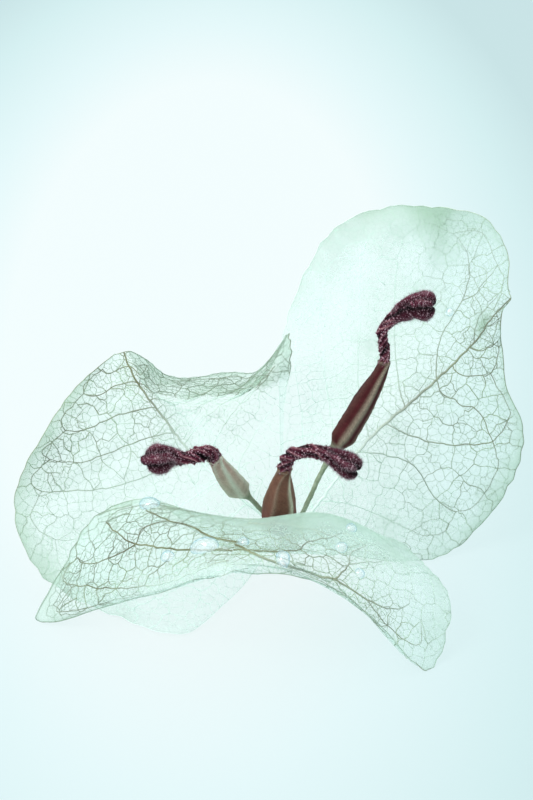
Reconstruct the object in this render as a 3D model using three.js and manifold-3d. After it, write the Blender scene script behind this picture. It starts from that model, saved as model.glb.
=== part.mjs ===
// A dried bougainvillea bloom: three papery bracts, the three withered flowers that stand
// on their midribs, the short peduncle that carries them all, and the water lying on it.
// Millimetres, +Z up. The bloom rests on the lowest corners of its bracts and on its peduncle.
//
// The pieces are drawn in the bloom's own frame, as it looks from the front: x to the right,
// y up, z towards the viewer, with the origin just above the heart. The whole bloom is then
// leant back to lie as it rests, and set down with its origin at the middle of its footprint.
import * as THREE from "three";
import { mergeVertices } from "three/addons/utils/BufferGeometryUtils.js";
import Module from "manifold-3d";

// ---- Driving dimensions ----
const LEAN_BACK = THREE.MathUtils.degToRad(60); // turns the front view up on to its back
const ORIGIN_HEIGHT = 9; // the drawing's origin stands this far above the surface

const BLADE_THICKNESS = 0.6; // papery blade between its veins
const MIDRIB_RISE = 0.5; // height of the midrib above each face, at its root
const SIDE_VEIN_RISE = 0.34;
const NET_RISE = 0.2; // the cross veins that close the net between the side veins
const QUILT = 0.3; // how far the paper bulges between two side veins
const MARGIN_WAVE = 0.35; // how far the margins wave out of the blade
const ROWS_PER_SIDE_VEIN = 3; // blade rows from one side vein to the next
const ROW_SPACING = 4; // usual distance between two drawn rows, and two drawn columns
const COLUMN_SPACING = 9;
const COLUMNS_PER_SPAN = 6; // blade columns from one drawn column to the next
const NET_PITCH = 3; // blade columns from one cross vein to the next

const HEART = [0, -1, -8]; // where the three stalks, the bracts and the peduncle meet
const HEART_RADIUS = 1.15;
const PEDUNCLE_RADIUS = 0.7;
const DROP_GAP = 0.2; // clear space between a drop and the raised veins under it

const FLOWER_SIDES = 15; // three to each of a tube's five ribs
const RIBS = 5;

const COLOURS = {
  bract: { color: 0xcfe2d4, roughness: 0.8, metalness: 0, side: THREE.DoubleSide },
  flower: { color: 0x5b2a38, roughness: 0.85, metalness: 0 },
  peduncle: { color: 0x8f9776, roughness: 0.8, metalness: 0 },
  water: { color: 0xe6f6fb, roughness: 0.05, metalness: 0 },
};

// ---- Bracts ----
// Each row is one side vein on either hand of the midrib, from margin to margin, and rows run
// from the root of the blade to its tip. The columns run the way that turns the blade's inner
// face, the one towards the flowers, into its front: rightwards on the left and right bracts,
// and leftwards on the front bract, which lies with its tip towards the viewer. A pleat is a
// low fold that grows from a point in the blade to its margin, both given by row and column.
const RIGHT_BRACT = {
  midribColumn: 2,
  rows: [
    [[0.3, 0.6, -8.2], [0.6, 0.4, -8.2], [0.8, 0.2, -8.2], [1.1, 0.1, -8.2], [1.3, -0.1, -8.2]],
    [[-0.8, 8, -11], [0.8, 6, -9.5], [3.2, 3.2, -8], [5.2, 0.8, -9], [7.5, -2.5, -10.5]],
    [[-0.9, 17.5, -13], [2.4, 14, -11], [6.8, 8, -8], [11.5, 3, -9.5], [16.2, -3.3, -12.6]],
    [[0.2, 26.5, -14.5], [5, 20.5, -12], [10.4, 12.2, -8.7], [17, 6, -10], [21.5, -0.8, -13]],
    [[4.2, 34.7, -15], [9.5, 25, -12.5], [14.2, 15.3, -9], [20.5, 10.5, -9.5], [26.3, 5.5, -11]],
    [[10, 38.6, -14], [14, 28.5, -12.5], [17.6, 18.3, -9], [22.5, 15.2, -8.5], [27.9, 12, -9]],
    [[17.5, 38.9, -10.5], [18.2, 30.5, -11], [20, 20.7, -8.7], [23, 18.8, -8], [25.6, 17.8, -8]],
    [[23, 37.3, -7.5], [22.2, 31.2, -8.5], [22.3, 23, -8], [24, 22, -7.8], [25.2, 22, -8]],
    [[25.8, 32.5, -6.5], [24.9, 29.3, -7], [23.7, 25.3, -7], [24.5, 25, -7], [24.9, 24.6, -7]],
    [[25.8, 28.3, -6], [25.9, 28.1, -6], [26, 27.8, -6], [25.9, 27.5, -6], [25.6, 27.2, -6]],
  ],
  pleats: [
    { from: [4.8, 1.8], to: [6.3, -0.1], height: 1.1, width: 1.6 },
    { from: [2.9, 1.55], to: [5.2, 0.2], height: 1, width: 1.8 },
    { from: [3, 0.5], to: [4.5, -0.05], height: 0.9, width: 1.7 },
  ],
};

const LEFT_BRACT = {
  midribColumn: 2,
  rows: [
    [[-1.4, -0.3, -7.7], [-1.2, 0, -7.7], [-1, 0.2, -7.7],
      [-0.8, 0.4, -7.7], [-0.7, 0.5, -7.7], [-0.5, 0.6, -7.7]],
    [[-5.5, -6, -5], [-4.4, -1.5, -6.8], [-3.5, 2.8, -6.8],
      [-2.4, 3.6, -6.5], [-1.5, 4, -6.5], [-0.7, 4.3, -6.6]],
    [[-12.2, -10.6, 1.5], [-9, -3.5, -4.5], [-6.3, 5.2, -5.7],
      [-4.4, 7, -5.2], [-2.4, 8, -5.1], [-0.5, 8.6, -5.4]],
    [[-20.6, -8.6, -2], [-15, -1.5, -6], [-9.2, 7.9, -5.5],
      [-6.7, 11, -4.6], [-3.6, 12.9, -4.4], [-0.4, 13.8, -5]],
    [[-28.2, -4.6, -3.5], [-20.5, 2.5, -7], [-11.8, 10.4, -5.5],
      [-8.6, 13.6, -3.4], [-4.4, 16.8, -3.4], [0.5, 20.8, -5]],
    [[-31.5, 2, -4], [-23.5, 6.5, -7], [-14, 13.3, -5.3],
      [-9.5, 14.9, -3.2], [-3.6, 17.6, -6], [0.2, 23.8, -7]],
    [[-30.5, 8, -4], [-24, 10.5, -6.5], [-15.8, 15.7, -5.3],
      [-11.4, 15.3, -3.5], [-6, 17.5, -9], [-4.1, 19.1, -11.3]],
    [[-27.5, 13.2, -4.5], [-23, 14, -6.2], [-17.2, 17.6, -5.6],
      [-13.6, 15.6, -4], [-9.8, 17.3, -8.5], [-8.6, 19, -12.8]],
    [[-23.8, 18.2, -5.5], [-21.5, 17.8, -6.3], [-18.4, 19.6, -6.2],
      [-16.2, 17.2, -5.3], [-14.8, 17.9, -8], [-14.6, 19, -11.3]],
    [[-20.2, 21.2, -6.8], [-19.7, 21.3, -6.8], [-19.1, 21.5, -7],
      [-18.5, 21.6, -7.4], [-18.1, 21.5, -7.7], [-17.7, 21.3, -8]],
  ],
  pleats: [],
};

const FRONT_BRACT = {
  midribColumn: 2,
  rows: [
    [[0.3, -1.4, -6.6], [0, -1.5, -6.6], [-0.3, -1.5, -6.6], [-0.6, -1.4, -6.6], [-0.9, -1.4, -6.6]],
    [[4.5, -2, -4.5], [1.6, -1.8, -3.8], [-0.9, -1.8, -3.6], [-2.8, -1.6, -3.4], [-5, -1.3, -2.8]],
    [[9.5, -0.5, -3.5], [2.4, 0.4, 1], [-2.2, 0.2, 1.2], [-6.4, 1, 1], [-11, 1.2, -1]],
    [[13.5, -0.8, -1.5], [3.8, 3.1, 3], [-3.8, 2.6, 4], [-10, 3.1, 1.5], [-16.3, 4.7, -1.2]],
    [[17, -4.3, 1.5], [5.6, 1.5, 6], [-5, 1.4, 7.5], [-13.5, 2.6, 3.5], [-21.2, 3.2, -2]],
    [[18, -9, 5], [6.5, -1.5, 8.5], [-5.6, 0.5, 10], [-16, 0, 5], [-25.5, -2.5, -2.5]],
    [[15.7, -14.2, 6.2], [5.6, -3.6, 10.5], [-6.1, -0.4, 12.5], [-18, -3.4, 5], [-29, -9.2, -2.5]],
    [[10.2, -9, 8.5], [2.6, -3, 11.5], [-6.5, -1.3, 14.5], [-14, -4, 9.5], [-22, -7.8, 2]],
    [[2.6, -3.7, 11], [-2, -2, 13.5], [-6.8, -2.1, 15.8], [-10, -3.6, 12.8], [-13, -4.8, 10]],
    [[-5.8, -2.2, 15.8], [-6.4, -2.4, 16.4], [-7, -2.7, 16.8], [-7.4, -2.8, 16.3], [-7.7, -2.8, 15.8]],
  ],
  pleats: [],
};

// ---- Flowers ----
// Stations up each flower: place, radius, depth of the furrows between the ribs as a share of
// the radius, turns of twist so far, and the number of rings up to the next station.
const RIGHT_FLOWER = [
  { at: [0.5, 0.1, -7.2], radius: 0.3, furrow: 0.05, twist: 0, rings: 3 },
  { at: [2.2, 3.8, -5], radius: 0.28, furrow: 0.05, twist: 0, rings: 3 },
  { at: [4, 7.8, -3.2], radius: 0.3, furrow: 0.1, twist: 0, rings: 3 },
  { at: [5.7, 10.7, -2.2], radius: 0.9, furrow: 0.25, twist: 0, rings: 2 },
  { at: [6.4, 11.9, -1.8], radius: 1.5, furrow: 0.3, twist: 0, rings: 4 },
  { at: [8.5, 15.5, -0.5], radius: 1.4, furrow: 0.3, twist: 0.03, rings: 4 },
  { at: [10.9, 20.2, 1], radius: 0.7, furrow: 0.25, twist: 0.1, rings: 6 },
  { at: [10.8, 22.1, 1.6], radius: 0.65, furrow: 0.3, twist: 0.7, rings: 6 },
  { at: [10.6, 23.6, 2.1], radius: 0.65, furrow: 0.3, twist: 1.4, rings: 5 },
  { at: [11.9, 25.2, 2.6], radius: 0.82, furrow: 0.3, twist: 1.75, rings: 4 },
  { at: [13.6, 26.3, 3], radius: 1.25, furrow: 0.32, twist: 1.85, rings: 4 },
  { at: [15.3, 26.7, 3.2], radius: 1.65, furrow: 0.35, twist: 1.9, rings: 4 },
  { at: [16.6, 26.7, 3.2], radius: 0.6, furrow: 0.45, twist: 1.9, rings: 0 },
];

const LEFT_FLOWER = [
  { at: [-0.5, -0.1, -6.9], radius: 0.3, furrow: 0.05, twist: 0, rings: 3 },
  { at: [-2, 2, -4.6], radius: 0.28, furrow: 0.05, twist: 0, rings: 3 },
  { at: [-4.2, 4.5, -2.8], radius: 0.3, furrow: 0.1, twist: 0, rings: 2 },
  { at: [-5.3, 5.5, -1.5], radius: 1, furrow: 0.25, twist: 0, rings: 2 },
  { at: [-5.8, 6, -0.5], radius: 1.45, furrow: 0.3, twist: 0, rings: 4 },
  { at: [-7.1, 7.6, 2.8], radius: 1.3, furrow: 0.3, twist: 0.03, rings: 4 },
  { at: [-8.1, 9.3, 6.2], radius: 0.85, furrow: 0.25, twist: 0.1, rings: 5 },
  { at: [-8.6, 10.1, 7.5], radius: 0.85, furrow: 0.3, twist: 0.3, rings: 5 },
  { at: [-9.9, 9.9, 8.2], radius: 0.95, furrow: 0.35, twist: 0.8, rings: 5 },
  { at: [-11.3, 9.5, 8.3], radius: 0.78, furrow: 0.35, twist: 1.3, rings: 5 },
  { at: [-12.7, 9.7, 8.3], radius: 1.15, furrow: 0.35, twist: 1.5, rings: 4 },
  { at: [-14.4, 9.4, 8.3], radius: 1.7, furrow: 0.35, twist: 1.55, rings: 4 },
  { at: [-16.2, 9.3, 8.1], radius: 0.6, furrow: 0.45, twist: 1.6, rings: 0 },
];

const MIDDLE_FLOWER = [
  { at: [-0.1, -0.6, -6.5], radius: 0.3, furrow: 0.05, twist: 0, rings: 3 },
  { at: [-0.6, 0.2, -4.9], radius: 0.32, furrow: 0.1, twist: 0, rings: 3 },
  { at: [-1, 1.2, -3.2], radius: 1, furrow: 0.25, twist: 0, rings: 2 },
  { at: [-1, 2.3, -1.8], radius: 2.1, furrow: 0.3, twist: 0, rings: 4 },
  { at: [-0.9, 4.3, 0.6], radius: 1.95, furrow: 0.3, twist: 0.02, rings: 4 },
  { at: [-0.5, 8, 4.9], radius: 0.85, furrow: 0.25, twist: 0.1, rings: 5 },
  { at: [-0.2, 9.3, 6.4], radius: 0.85, furrow: 0.3, twist: 0.4, rings: 5 },
  { at: [0.8, 10.1, 7.3], radius: 0.85, furrow: 0.3, twist: 0.9, rings: 5 },
  { at: [2.5, 10.3, 7.8], radius: 0.8, furrow: 0.3, twist: 1.2, rings: 5 },
  { at: [4.2, 9.9, 8], radius: 1, furrow: 0.32, twist: 1.4, rings: 4 },
  { at: [6, 9.1, 8], radius: 1.4, furrow: 0.35, twist: 1.5, rings: 4 },
  { at: [7.2, 8.5, 7.8], radius: 1.4, furrow: 0.38, twist: 1.5, rings: 3 },
  { at: [8, 8, 7.6], radius: 0.6, furrow: 0.45, twist: 1.5, rings: 0 },
];

// ---- Water ----
// Drops on the face of a bract: where each lies, in rows and columns of the bract's drawing,
// and its size along the side veins, along the midrib, and off the face.
const DROPS = [
  { on: "front", row: 5.8, column: 2.25, length: 3.6, width: 2.6, height: 1.2 },
  { on: "front", row: 3.5, column: 3.55, length: 2.2, width: 1.8, height: 0.8 },
  { on: "front", row: 5.9, column: 2.58, length: 2, width: 1.6, height: 0.8 },
  { on: "front", row: 5.3, column: 1.93, length: 1.5, width: 1.6, height: 0.6 },
  { on: "front", row: 6.45, column: 1.5, length: 1.9, width: 2, height: 0.8 },
  { on: "front", row: 3.85, column: 0.87, length: 1.2, width: 1.2, height: 0.5 },
  { on: "front", row: 4.75, column: 1.07, length: 1.4, width: 1.3, height: 0.6 },
  { on: "front", row: 5.45, column: 0.9, length: 1.2, width: 1.2, height: 0.5 },
  { on: "right", row: 6.2, column: 1.43, length: 1.1, width: 1.1, height: 0.5 },
];

// A drop's outline from its flat underside to its crown, as shares of its half width and height.
const DROP_OUTLINE = [[0, 0], [0.85, 0], [1, 0.2], [0.9, 0.6], [0.55, 0.9], [0, 1]];
const DROP_SIDES = 10;

// ---- Peduncle ----
// Its middle line, from the heart down to its cut end on the surface.
const PEDUNCLE = [HEART, [0.3, -1.3, -10.5], [0.8, -0.9, -13.8], [1.5, -0.15, -16.8]];
const PEDUNCLE_STEPS = 12;
const PEDUNCLE_ARC_SEGMENTS = 5; // per half turn of its round section

const wasm = await Module();
wasm.setup();

const vector = ([x, y, z]) => new THREE.Vector3(x, y, z);
const spline = (points) => new THREE.CatmullRomCurve3(points, false, "centripetal");

// A closed surface from rows of points: faces are wound so that they point outwards.
function solidFromFaces(vertices, faces) {
  const geometry = new THREE.BufferGeometry().setFromPoints(vertices);
  geometry.setIndex(faces.flat());
  return geometry;
}

// The point of a bract's drawing at a row and column, with no undulation.
function drawnSurface({ rows }) {
  const columns = rows[0].map((_, c) => spline(rows.map((row) => vector(row[c]))));
  return (row, column) => {
    const across = spline(columns.map((curve) => curve.getPoint(row / (rows.length - 1))));
    return across.getPoint(column / (columns.length - 1));
  };
}

// Which way a surface faces at a row and column, and its directions across and along it.
function surfaceAxes(surface, { rows }, row, column) {
  const step = 0.05;
  const within = (value, top) => Math.min(Math.max(value, 0), top);
  const [lastRow, lastColumn] = [rows.length - 1, rows[0].length - 1];
  const across = surface(row, within(column + step, lastColumn))
    .sub(surface(row, within(column - step, lastColumn)))
    .normalize();
  const along = surface(within(row + step, lastRow), column)
    .sub(surface(within(row - step, lastRow), column))
    .normalize();
  return { across, along, facing: across.clone().cross(along).normalize() };
}

// How far a pleat lifts the paper at a row and column.
function pleatLift({ from, to, height, width }, row, column) {
  const [runX, runY] = [(to[0] - from[0]) * ROW_SPACING, (to[1] - from[1]) * COLUMN_SPACING];
  const [x, y] = [(row - from[0]) * ROW_SPACING, (column - from[1]) * COLUMN_SPACING];
  const share = (x * runX + y * runY) / (runX * runX + runY * runY);
  const along = Math.min(Math.max(share, 0), 1);
  const away = Math.hypot(x - along * runX, y - along * runY);
  return height * Math.sin((Math.PI / 2) * along) * Math.exp(-((away / width) ** 2));
}

// How far the paper stands off the drawing: it bulges between the side veins, its margins wave,
// and its pleats lift it.
function undulation({ rows, midribColumn, pleats }, row, column) {
  const lastColumn = rows[0].length - 1;
  const outwards =
    column < midribColumn
      ? (midribColumn - column) / midribColumn
      : (column - midribColumn) / (lastColumn - midribColumn);
  const bulge = QUILT * Math.sin(Math.PI * row) ** 2 * Math.sin(Math.PI * outwards);
  const wave = MARGIN_WAVE * outwards ** 4 * Math.sin(Math.PI * row);
  return pleats.reduce((sum, pleat) => sum + pleatLift(pleat, row, column), bulge + wave);
}

// The blade's middle surface: the drawing with its undulation.
function bladeSurface(bract) {
  const drawn = drawnSurface(bract);
  return (row, column) => {
    const { facing } = surfaceAxes(drawn, bract, row, column);
    return drawn(row, column).addScaledVector(facing, undulation(bract, row, column));
  };
}

// How far the blade's face stands off its middle surface: half its paper, and the raised net.
function faceHeight(row, column, { midrib, lastRow }) {
  const towardsTip = row / lastRow;
  const onSideVein = row % ROWS_PER_SIDE_VEIN === 0;
  const stagger = Math.floor(row / ROWS_PER_SIDE_VEIN) % 2;
  const onCrossVein = (column + stagger) % NET_PITCH === 0;
  let rise = 0;
  if (onCrossVein) rise = NET_RISE;
  if (onSideVein) rise = SIDE_VEIN_RISE * (1 - 0.5 * towardsTip);
  if (column === midrib) rise = MIDRIB_RISE * (1 - 0.6 * towardsTip);
  return BLADE_THICKNESS / 2 + rise;
}

// A waved blade: two like nets of triangles either side of its middle surface, and a rim.
function bladeGeometry(bract) {
  const lastRow = (bract.rows.length - 1) * ROWS_PER_SIDE_VEIN;
  const lastColumn = (bract.rows[0].length - 1) * COLUMNS_PER_SPAN;
  const midrib = bract.midribColumn * COLUMNS_PER_SPAN;
  const surface = bladeSurface(bract);
  const middle = [];
  for (let r = 0; r <= lastRow; r++)
    for (let c = 0; c <= lastColumn; c++)
      middle.push(surface(r / ROWS_PER_SIDE_VEIN, c / COLUMNS_PER_SPAN));
  const at = (r, c) => r * (lastColumn + 1) + c;
  const front = [];
  const back = [];
  for (let r = 0; r <= lastRow; r++)
    for (let c = 0; c <= lastColumn; c++) {
      const { facing } = surfaceAxes(surface, bract, r / ROWS_PER_SIDE_VEIN, c / COLUMNS_PER_SPAN);
      const offset = facing.multiplyScalar(faceHeight(r, c, { midrib, lastRow }));
      front.push(middle[at(r, c)].clone().add(offset));
      back.push(middle[at(r, c)].clone().sub(offset));
    }
  const behind = front.length;
  const faces = [];
  for (let r = 0; r < lastRow; r++)
    for (let c = 0; c < lastColumn; c++) {
      const [a, b, d, e] = [at(r, c), at(r, c + 1), at(r + 1, c + 1), at(r + 1, c)];
      faces.push([a, b, d], [a, d, e]);
      faces.push([behind + a, behind + d, behind + b], [behind + a, behind + e, behind + d]);
    }
  const rim = [];
  for (let c = 0; c < lastColumn; c++) rim.push(at(0, c));
  for (let r = 0; r < lastRow; r++) rim.push(at(r, lastColumn));
  for (let c = lastColumn; c > 0; c--) rim.push(at(lastRow, c));
  for (let r = lastRow; r > 0; r--) rim.push(at(r, 0));
  rim.forEach((a, i) => {
    const b = rim[(i + 1) % rim.length];
    faces.push([a, behind + b, b], [a, behind + a, behind + b]);
  });
  return solidFromFaces([...front, ...back], faces);
}

// A flower in one piece: stalk, five-ribbed tube, twisted neck and shrivelled, furrowed head.
function flowerGeometry(stations) {
  const path = spline(stations.map(({ at }) => vector(at)));
  const form = spline(stations.map(({ radius, furrow, twist }) => vector([radius, furrow, twist])));
  const spans = stations.length - 1;
  const steps = [];
  stations.forEach(({ rings }, s) => {
    for (let k = 0; k < rings; k++) steps.push((s + k / rings) / spans);
  });
  steps.push(1);
  const vertices = [];
  const side = new THREE.Vector3(1, 0, 0);
  for (const u of steps) {
    const heading = path.getTangent(u);
    side.addScaledVector(heading, -side.dot(heading)).normalize();
    const other = heading.clone().cross(side);
    const { x: radius, y: furrow, z: twist } = form.getPoint(u);
    for (let k = 0; k < FLOWER_SIDES; k++) {
      const angle = (2 * Math.PI * k) / FLOWER_SIDES;
      const reach = radius * (1 - furrow * (0.5 - 0.5 * Math.cos(RIBS * angle)));
      const turned = angle + 2 * Math.PI * twist;
      vertices.push(
        path.getPoint(u)
          .addScaledVector(side, reach * Math.cos(turned))
          .addScaledVector(other, reach * Math.sin(turned)),
      );
    }
  }
  return closedTube(vertices, FLOWER_SIDES, path.getPoint(0), path.getPoint(1));
}

// Rings of points joined into a tube, closed by a fan at either end.
function closedTube(vertices, sides, startCentre, endCentre) {
  const rings = vertices.length / sides;
  const faces = [];
  for (let r = 0; r < rings - 1; r++)
    for (let k = 0; k < sides; k++) {
      const next = (k + 1) % sides;
      const [a, b, c, d] = [r * sides + k, r * sides + next, (r + 1) * sides + next, (r + 1) * sides + k];
      faces.push([a, b, c], [a, c, d]);
    }
  const start = vertices.length;
  const end = start + 1;
  const last = (rings - 1) * sides;
  for (let k = 0; k < sides; k++) {
    const next = (k + 1) % sides;
    faces.push([start, next, k], [end, last + k, last + next]);
  }
  return solidFromFaces([...vertices, startCentre, endCentre], faces);
}

// A drop of water: a low dome whose flat underside just clears the veins below it.
function dropGeometry(bract, { row, column, length, width, height }) {
  const surface = bladeSurface(bract);
  const { across, facing } = surfaceAxes(surface, bract, row, column);
  const centre = surface(row, column);
  const reach = Math.max(length, width) / 2;
  const lastColumn = bract.rows[0].length - 1;
  let highest = 0;
  for (let r = row - 1; r <= row + 1; r += 0.1)
    for (let c = column - 1; c <= column + 1; c += 0.1) {
      const away = surface(r, Math.min(Math.max(c, 0), lastColumn)).sub(centre);
      const rise = away.dot(facing);
      const distance = Math.sqrt(away.lengthSq() - rise * rise);
      if (distance <= reach) highest = Math.max(highest, rise);
    }
  const lift = highest + BLADE_THICKNESS / 2 + SIDE_VEIN_RISE + DROP_GAP;
  const profile = DROP_OUTLINE.map(([r, h]) => new THREE.Vector2(r, h));
  const beside = across.clone().cross(facing).normalize();
  const place = new THREE.Matrix4().makeBasis(
    across.multiplyScalar(length / 2),
    facing.clone().multiplyScalar(height),
    beside.multiplyScalar(width / 2),
  );
  place.setPosition(centre.addScaledVector(facing, lift));
  return new THREE.LatheGeometry(profile, DROP_SIDES).applyMatrix4(place);
}

// manifold-3d solid of a closed geometry, and back.
function toManifold(geometry) {
  const bare = geometry.index ? geometry.toNonIndexed() : geometry.clone();
  bare.deleteAttribute("normal");
  bare.deleteAttribute("uv");
  const merged = mergeVertices(bare, 1e-4);
  return new wasm.Manifold(
    new wasm.Mesh({
      numProp: 3,
      vertProperties: new Float32Array(merged.attributes.position.array),
      triVerts: new Uint32Array(merged.index.array),
    }),
  );
}

function toGeometry(solid) {
  const { numProp, vertProperties, triVerts } = solid.getMesh();
  const geometry = new THREE.BufferGeometry();
  const positions = new Float32Array((vertProperties.length / numProp) * 3);
  for (let i = 0; i < positions.length / 3; i++)
    positions.set(vertProperties.subarray(i * numProp, i * numProp + 3), i * 3);
  geometry.setAttribute("position", new THREE.BufferAttribute(positions, 3));
  geometry.setIndex(new THREE.BufferAttribute(new Uint32Array(triVerts), 1));
  geometry.computeVertexNormals();
  return geometry;
}

// Takes off what would reach below the surface, which leaves the small flats it rests on.
const groundBlock = new THREE.BoxGeometry(200, 200, 40)
  .translate(0, 0, -ORIGIN_HEIGHT - 20)
  .applyMatrix4(new THREE.Matrix4().makeRotationX(-LEAN_BACK));
const ground = toManifold(groundBlock);
const setDown = (geometry) => toGeometry(toManifold(geometry).subtract(ground));

function piece(name, geometry, finish) {
  const mesh = new THREE.Mesh(setDown(geometry), new THREE.MeshStandardMaterial(COLOURS[finish]));
  mesh.name = name;
  return mesh;
}

function peduncleGeometry() {
  const path = spline(PEDUNCLE.map(vector));
  const section = new THREE.Shape().absarc(0, 0, PEDUNCLE_RADIUS, 0, 2 * Math.PI);
  const stalk = new THREE.ExtrudeGeometry(section, {
    extrudePath: path,
    steps: PEDUNCLE_STEPS,
    curveSegments: PEDUNCLE_ARC_SEGMENTS,
  });
  const heart = new THREE.SphereGeometry(HEART_RADIUS, 12, 8).translate(...HEART);
  return toGeometry(toManifold(heart).add(toManifold(stalk)));
}

const bloom = new THREE.Group();
bloom.add(
  piece("bract_right", bladeGeometry(RIGHT_BRACT), "bract"),
  piece("bract_left", bladeGeometry(LEFT_BRACT), "bract"),
  piece("bract_front", bladeGeometry(FRONT_BRACT), "bract"),
  piece("flower_right", flowerGeometry(RIGHT_FLOWER), "flower"),
  piece("flower_left", flowerGeometry(LEFT_FLOWER), "flower"),
  piece("flower_middle", flowerGeometry(MIDDLE_FLOWER), "flower"),
  piece("peduncle", peduncleGeometry(), "peduncle"),
  ...DROPS.map((drop, i) => {
    const bract = drop.on === "front" ? FRONT_BRACT : RIGHT_BRACT;
    return piece(`drop_${i + 1}`, dropGeometry(bract, drop), "water");
  }),
);
bloom.rotation.x = LEAN_BACK;

// Set down: the surface at z = 0, and the origin at the middle of the bloom's outline.
const part = new THREE.Group();
part.add(bloom);
part.updateMatrixWorld(true);
const box = new THREE.Box3().setFromObject(part, true);
bloom.position.set(-(box.min.x + box.max.x) / 2, -(box.min.y + box.max.y) / 2, -box.min.z);

export default part;
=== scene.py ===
# A dried bougainvillea bloom: bracts of net-veined paper, withered flowers, a stalk and drops of
# water.
#
# The drawings below are in millimetres in the bloom's own frame, as it looks from the front: x to
# the right, y up, z towards the viewer. laid_down() leans it back and sets it on the surface.
import math

import bpy
import numpy as np
from mathutils import Matrix, Vector, noise
from mathutils.bvhtree import BVHTree
from mathutils.geometry import delaunay_2d_cdt
from mathutils.kdtree import KDTree


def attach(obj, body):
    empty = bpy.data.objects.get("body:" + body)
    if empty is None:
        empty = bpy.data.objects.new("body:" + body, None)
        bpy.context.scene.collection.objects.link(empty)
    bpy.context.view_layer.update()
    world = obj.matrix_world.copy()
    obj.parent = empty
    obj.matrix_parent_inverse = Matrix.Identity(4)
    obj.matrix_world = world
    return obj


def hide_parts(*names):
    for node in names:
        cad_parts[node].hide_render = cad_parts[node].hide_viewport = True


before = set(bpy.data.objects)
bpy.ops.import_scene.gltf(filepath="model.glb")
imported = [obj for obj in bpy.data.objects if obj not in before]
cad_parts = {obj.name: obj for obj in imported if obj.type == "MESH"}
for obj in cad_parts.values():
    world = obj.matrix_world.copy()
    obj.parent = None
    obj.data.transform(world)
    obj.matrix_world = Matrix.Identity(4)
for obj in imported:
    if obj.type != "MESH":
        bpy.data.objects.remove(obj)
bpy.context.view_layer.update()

MM = 0.001
LEAN_BACK = math.radians(60)
BLOOM_PLACE = np.array([1.8876, -7.665, 9.0])  # where the drawings' origin goes
LOWEST = 0.00001  # metres above the surface: no point of a piece goes lower

# ---------------------------------------------------------------------------- bract drawings
# Each row is one side vein from margin to margin; rows run from the root of the blade to its tip.
MIDRIB_COLUMN = 2
QUILT = 0.3  # how far the paper bulges between side veins
MARGIN_WAVE = 0.35  # how far the margins wave

RIGHT_BRACT = np.array([
    [[0.3, 0.6, -8.2], [0.6, 0.4, -8.2], [0.8, 0.2, -8.2], [1.1, 0.1, -8.2], [1.3, -0.1, -8.2]],
    [[-0.8, 8, -11], [0.8, 6, -9.5], [3.2, 3.2, -8], [5.2, 0.8, -9], [7.5, -2.5, -10.5]],
    [[-0.9, 17.5, -13], [2.4, 14, -11], [6.8, 8, -8], [11.5, 3, -9.5], [16.2, -3.3, -12.6]],
    [[0.2, 26.5, -14.5], [5, 20.5, -12], [10.4, 12.2, -8.7], [17, 6, -10], [21.5, -0.8, -13]],
    [[4.2, 34.7, -15], [9.5, 25, -12.5], [14.2, 15.3, -9], [20.5, 10.5, -9.5], [26.3, 5.5, -11]],
    [[10, 38.6, -14], [14, 28.5, -12.5], [17.6, 18.3, -9], [22.5, 15.2, -8.5], [27.9, 12, -9]],
    [[17.5, 38.9, -10.5], [18.2, 30.5, -11], [20, 20.7, -8.7], [23, 18.8, -8], [25.6, 17.8, -8]],
    [[23, 37.3, -7.5], [22.2, 31.2, -8.5], [22.3, 23, -8], [24, 22, -7.8], [25.2, 22, -8]],
    [[25.8, 32.5, -6.5], [24.9, 29.3, -7], [23.7, 25.3, -7], [24.5, 25, -7], [24.9, 24.6, -7]],
    [[25.8, 28.3, -6], [25.9, 28.1, -6], [26, 27.8, -6], [25.9, 27.5, -6], [25.6, 27.2, -6]],
])

LEFT_BRACT = np.array([
    [[-1.4, -0.3, -7.7], [-1.2, 0, -7.7], [-1, 0.2, -7.7],
     [-0.8, 0.4, -7.7], [-0.7, 0.5, -7.7], [-0.5, 0.6, -7.7]],
    [[-5.5, -6, -5], [-4.4, -1.5, -6.8], [-3.5, 2.8, -6.8],
     [-2.4, 3.6, -6.5], [-1.5, 4, -6.5], [-0.7, 4.3, -6.6]],
    [[-12.2, -10.6, 1.5], [-9, -3.5, -4.5], [-6.3, 5.2, -5.7],
     [-4.4, 7, -5.2], [-2.4, 8, -5.1], [-0.5, 8.6, -5.4]],
    [[-20.6, -8.6, -2], [-15, -1.5, -6], [-9.2, 7.9, -5.5],
     [-6.7, 11, -4.6], [-3.6, 12.9, -4.4], [-0.4, 13.8, -5]],
    [[-28.2, -4.6, -3.5], [-20.5, 2.5, -7], [-11.8, 10.4, -5.5],
     [-8.6, 13.6, -3.4], [-4.4, 16.8, -3.4], [0.5, 20.8, -5]],
    [[-31.5, 2, -4], [-23.5, 6.5, -7], [-14, 13.3, -5.3],
     [-9.5, 14.9, -3.2], [-3.6, 17.6, -6], [0.2, 23.8, -7]],
    [[-30.5, 8, -4], [-24, 10.5, -6.5], [-15.8, 15.7, -5.3],
     [-11.4, 15.3, -3.5], [-6, 17.5, -9], [-4.1, 19.1, -11.3]],
    [[-27.5, 13.2, -4.5], [-23, 14, -6.2], [-17.2, 17.6, -5.6],
     [-13.6, 15.6, -4], [-9.8, 17.3, -8.5], [-8.6, 19, -12.8]],
    [[-23.8, 18.2, -5.5], [-21.5, 17.8, -6.3], [-18.4, 19.6, -6.2],
     [-16.2, 17.2, -5.3], [-14.8, 17.9, -8], [-14.6, 19, -11.3]],
    [[-20.2, 21.2, -6.8], [-19.7, 21.3, -6.8], [-19.1, 21.5, -7],
     [-18.5, 21.6, -7.4], [-18.1, 21.5, -7.7], [-17.7, 21.3, -8]],
])

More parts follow.
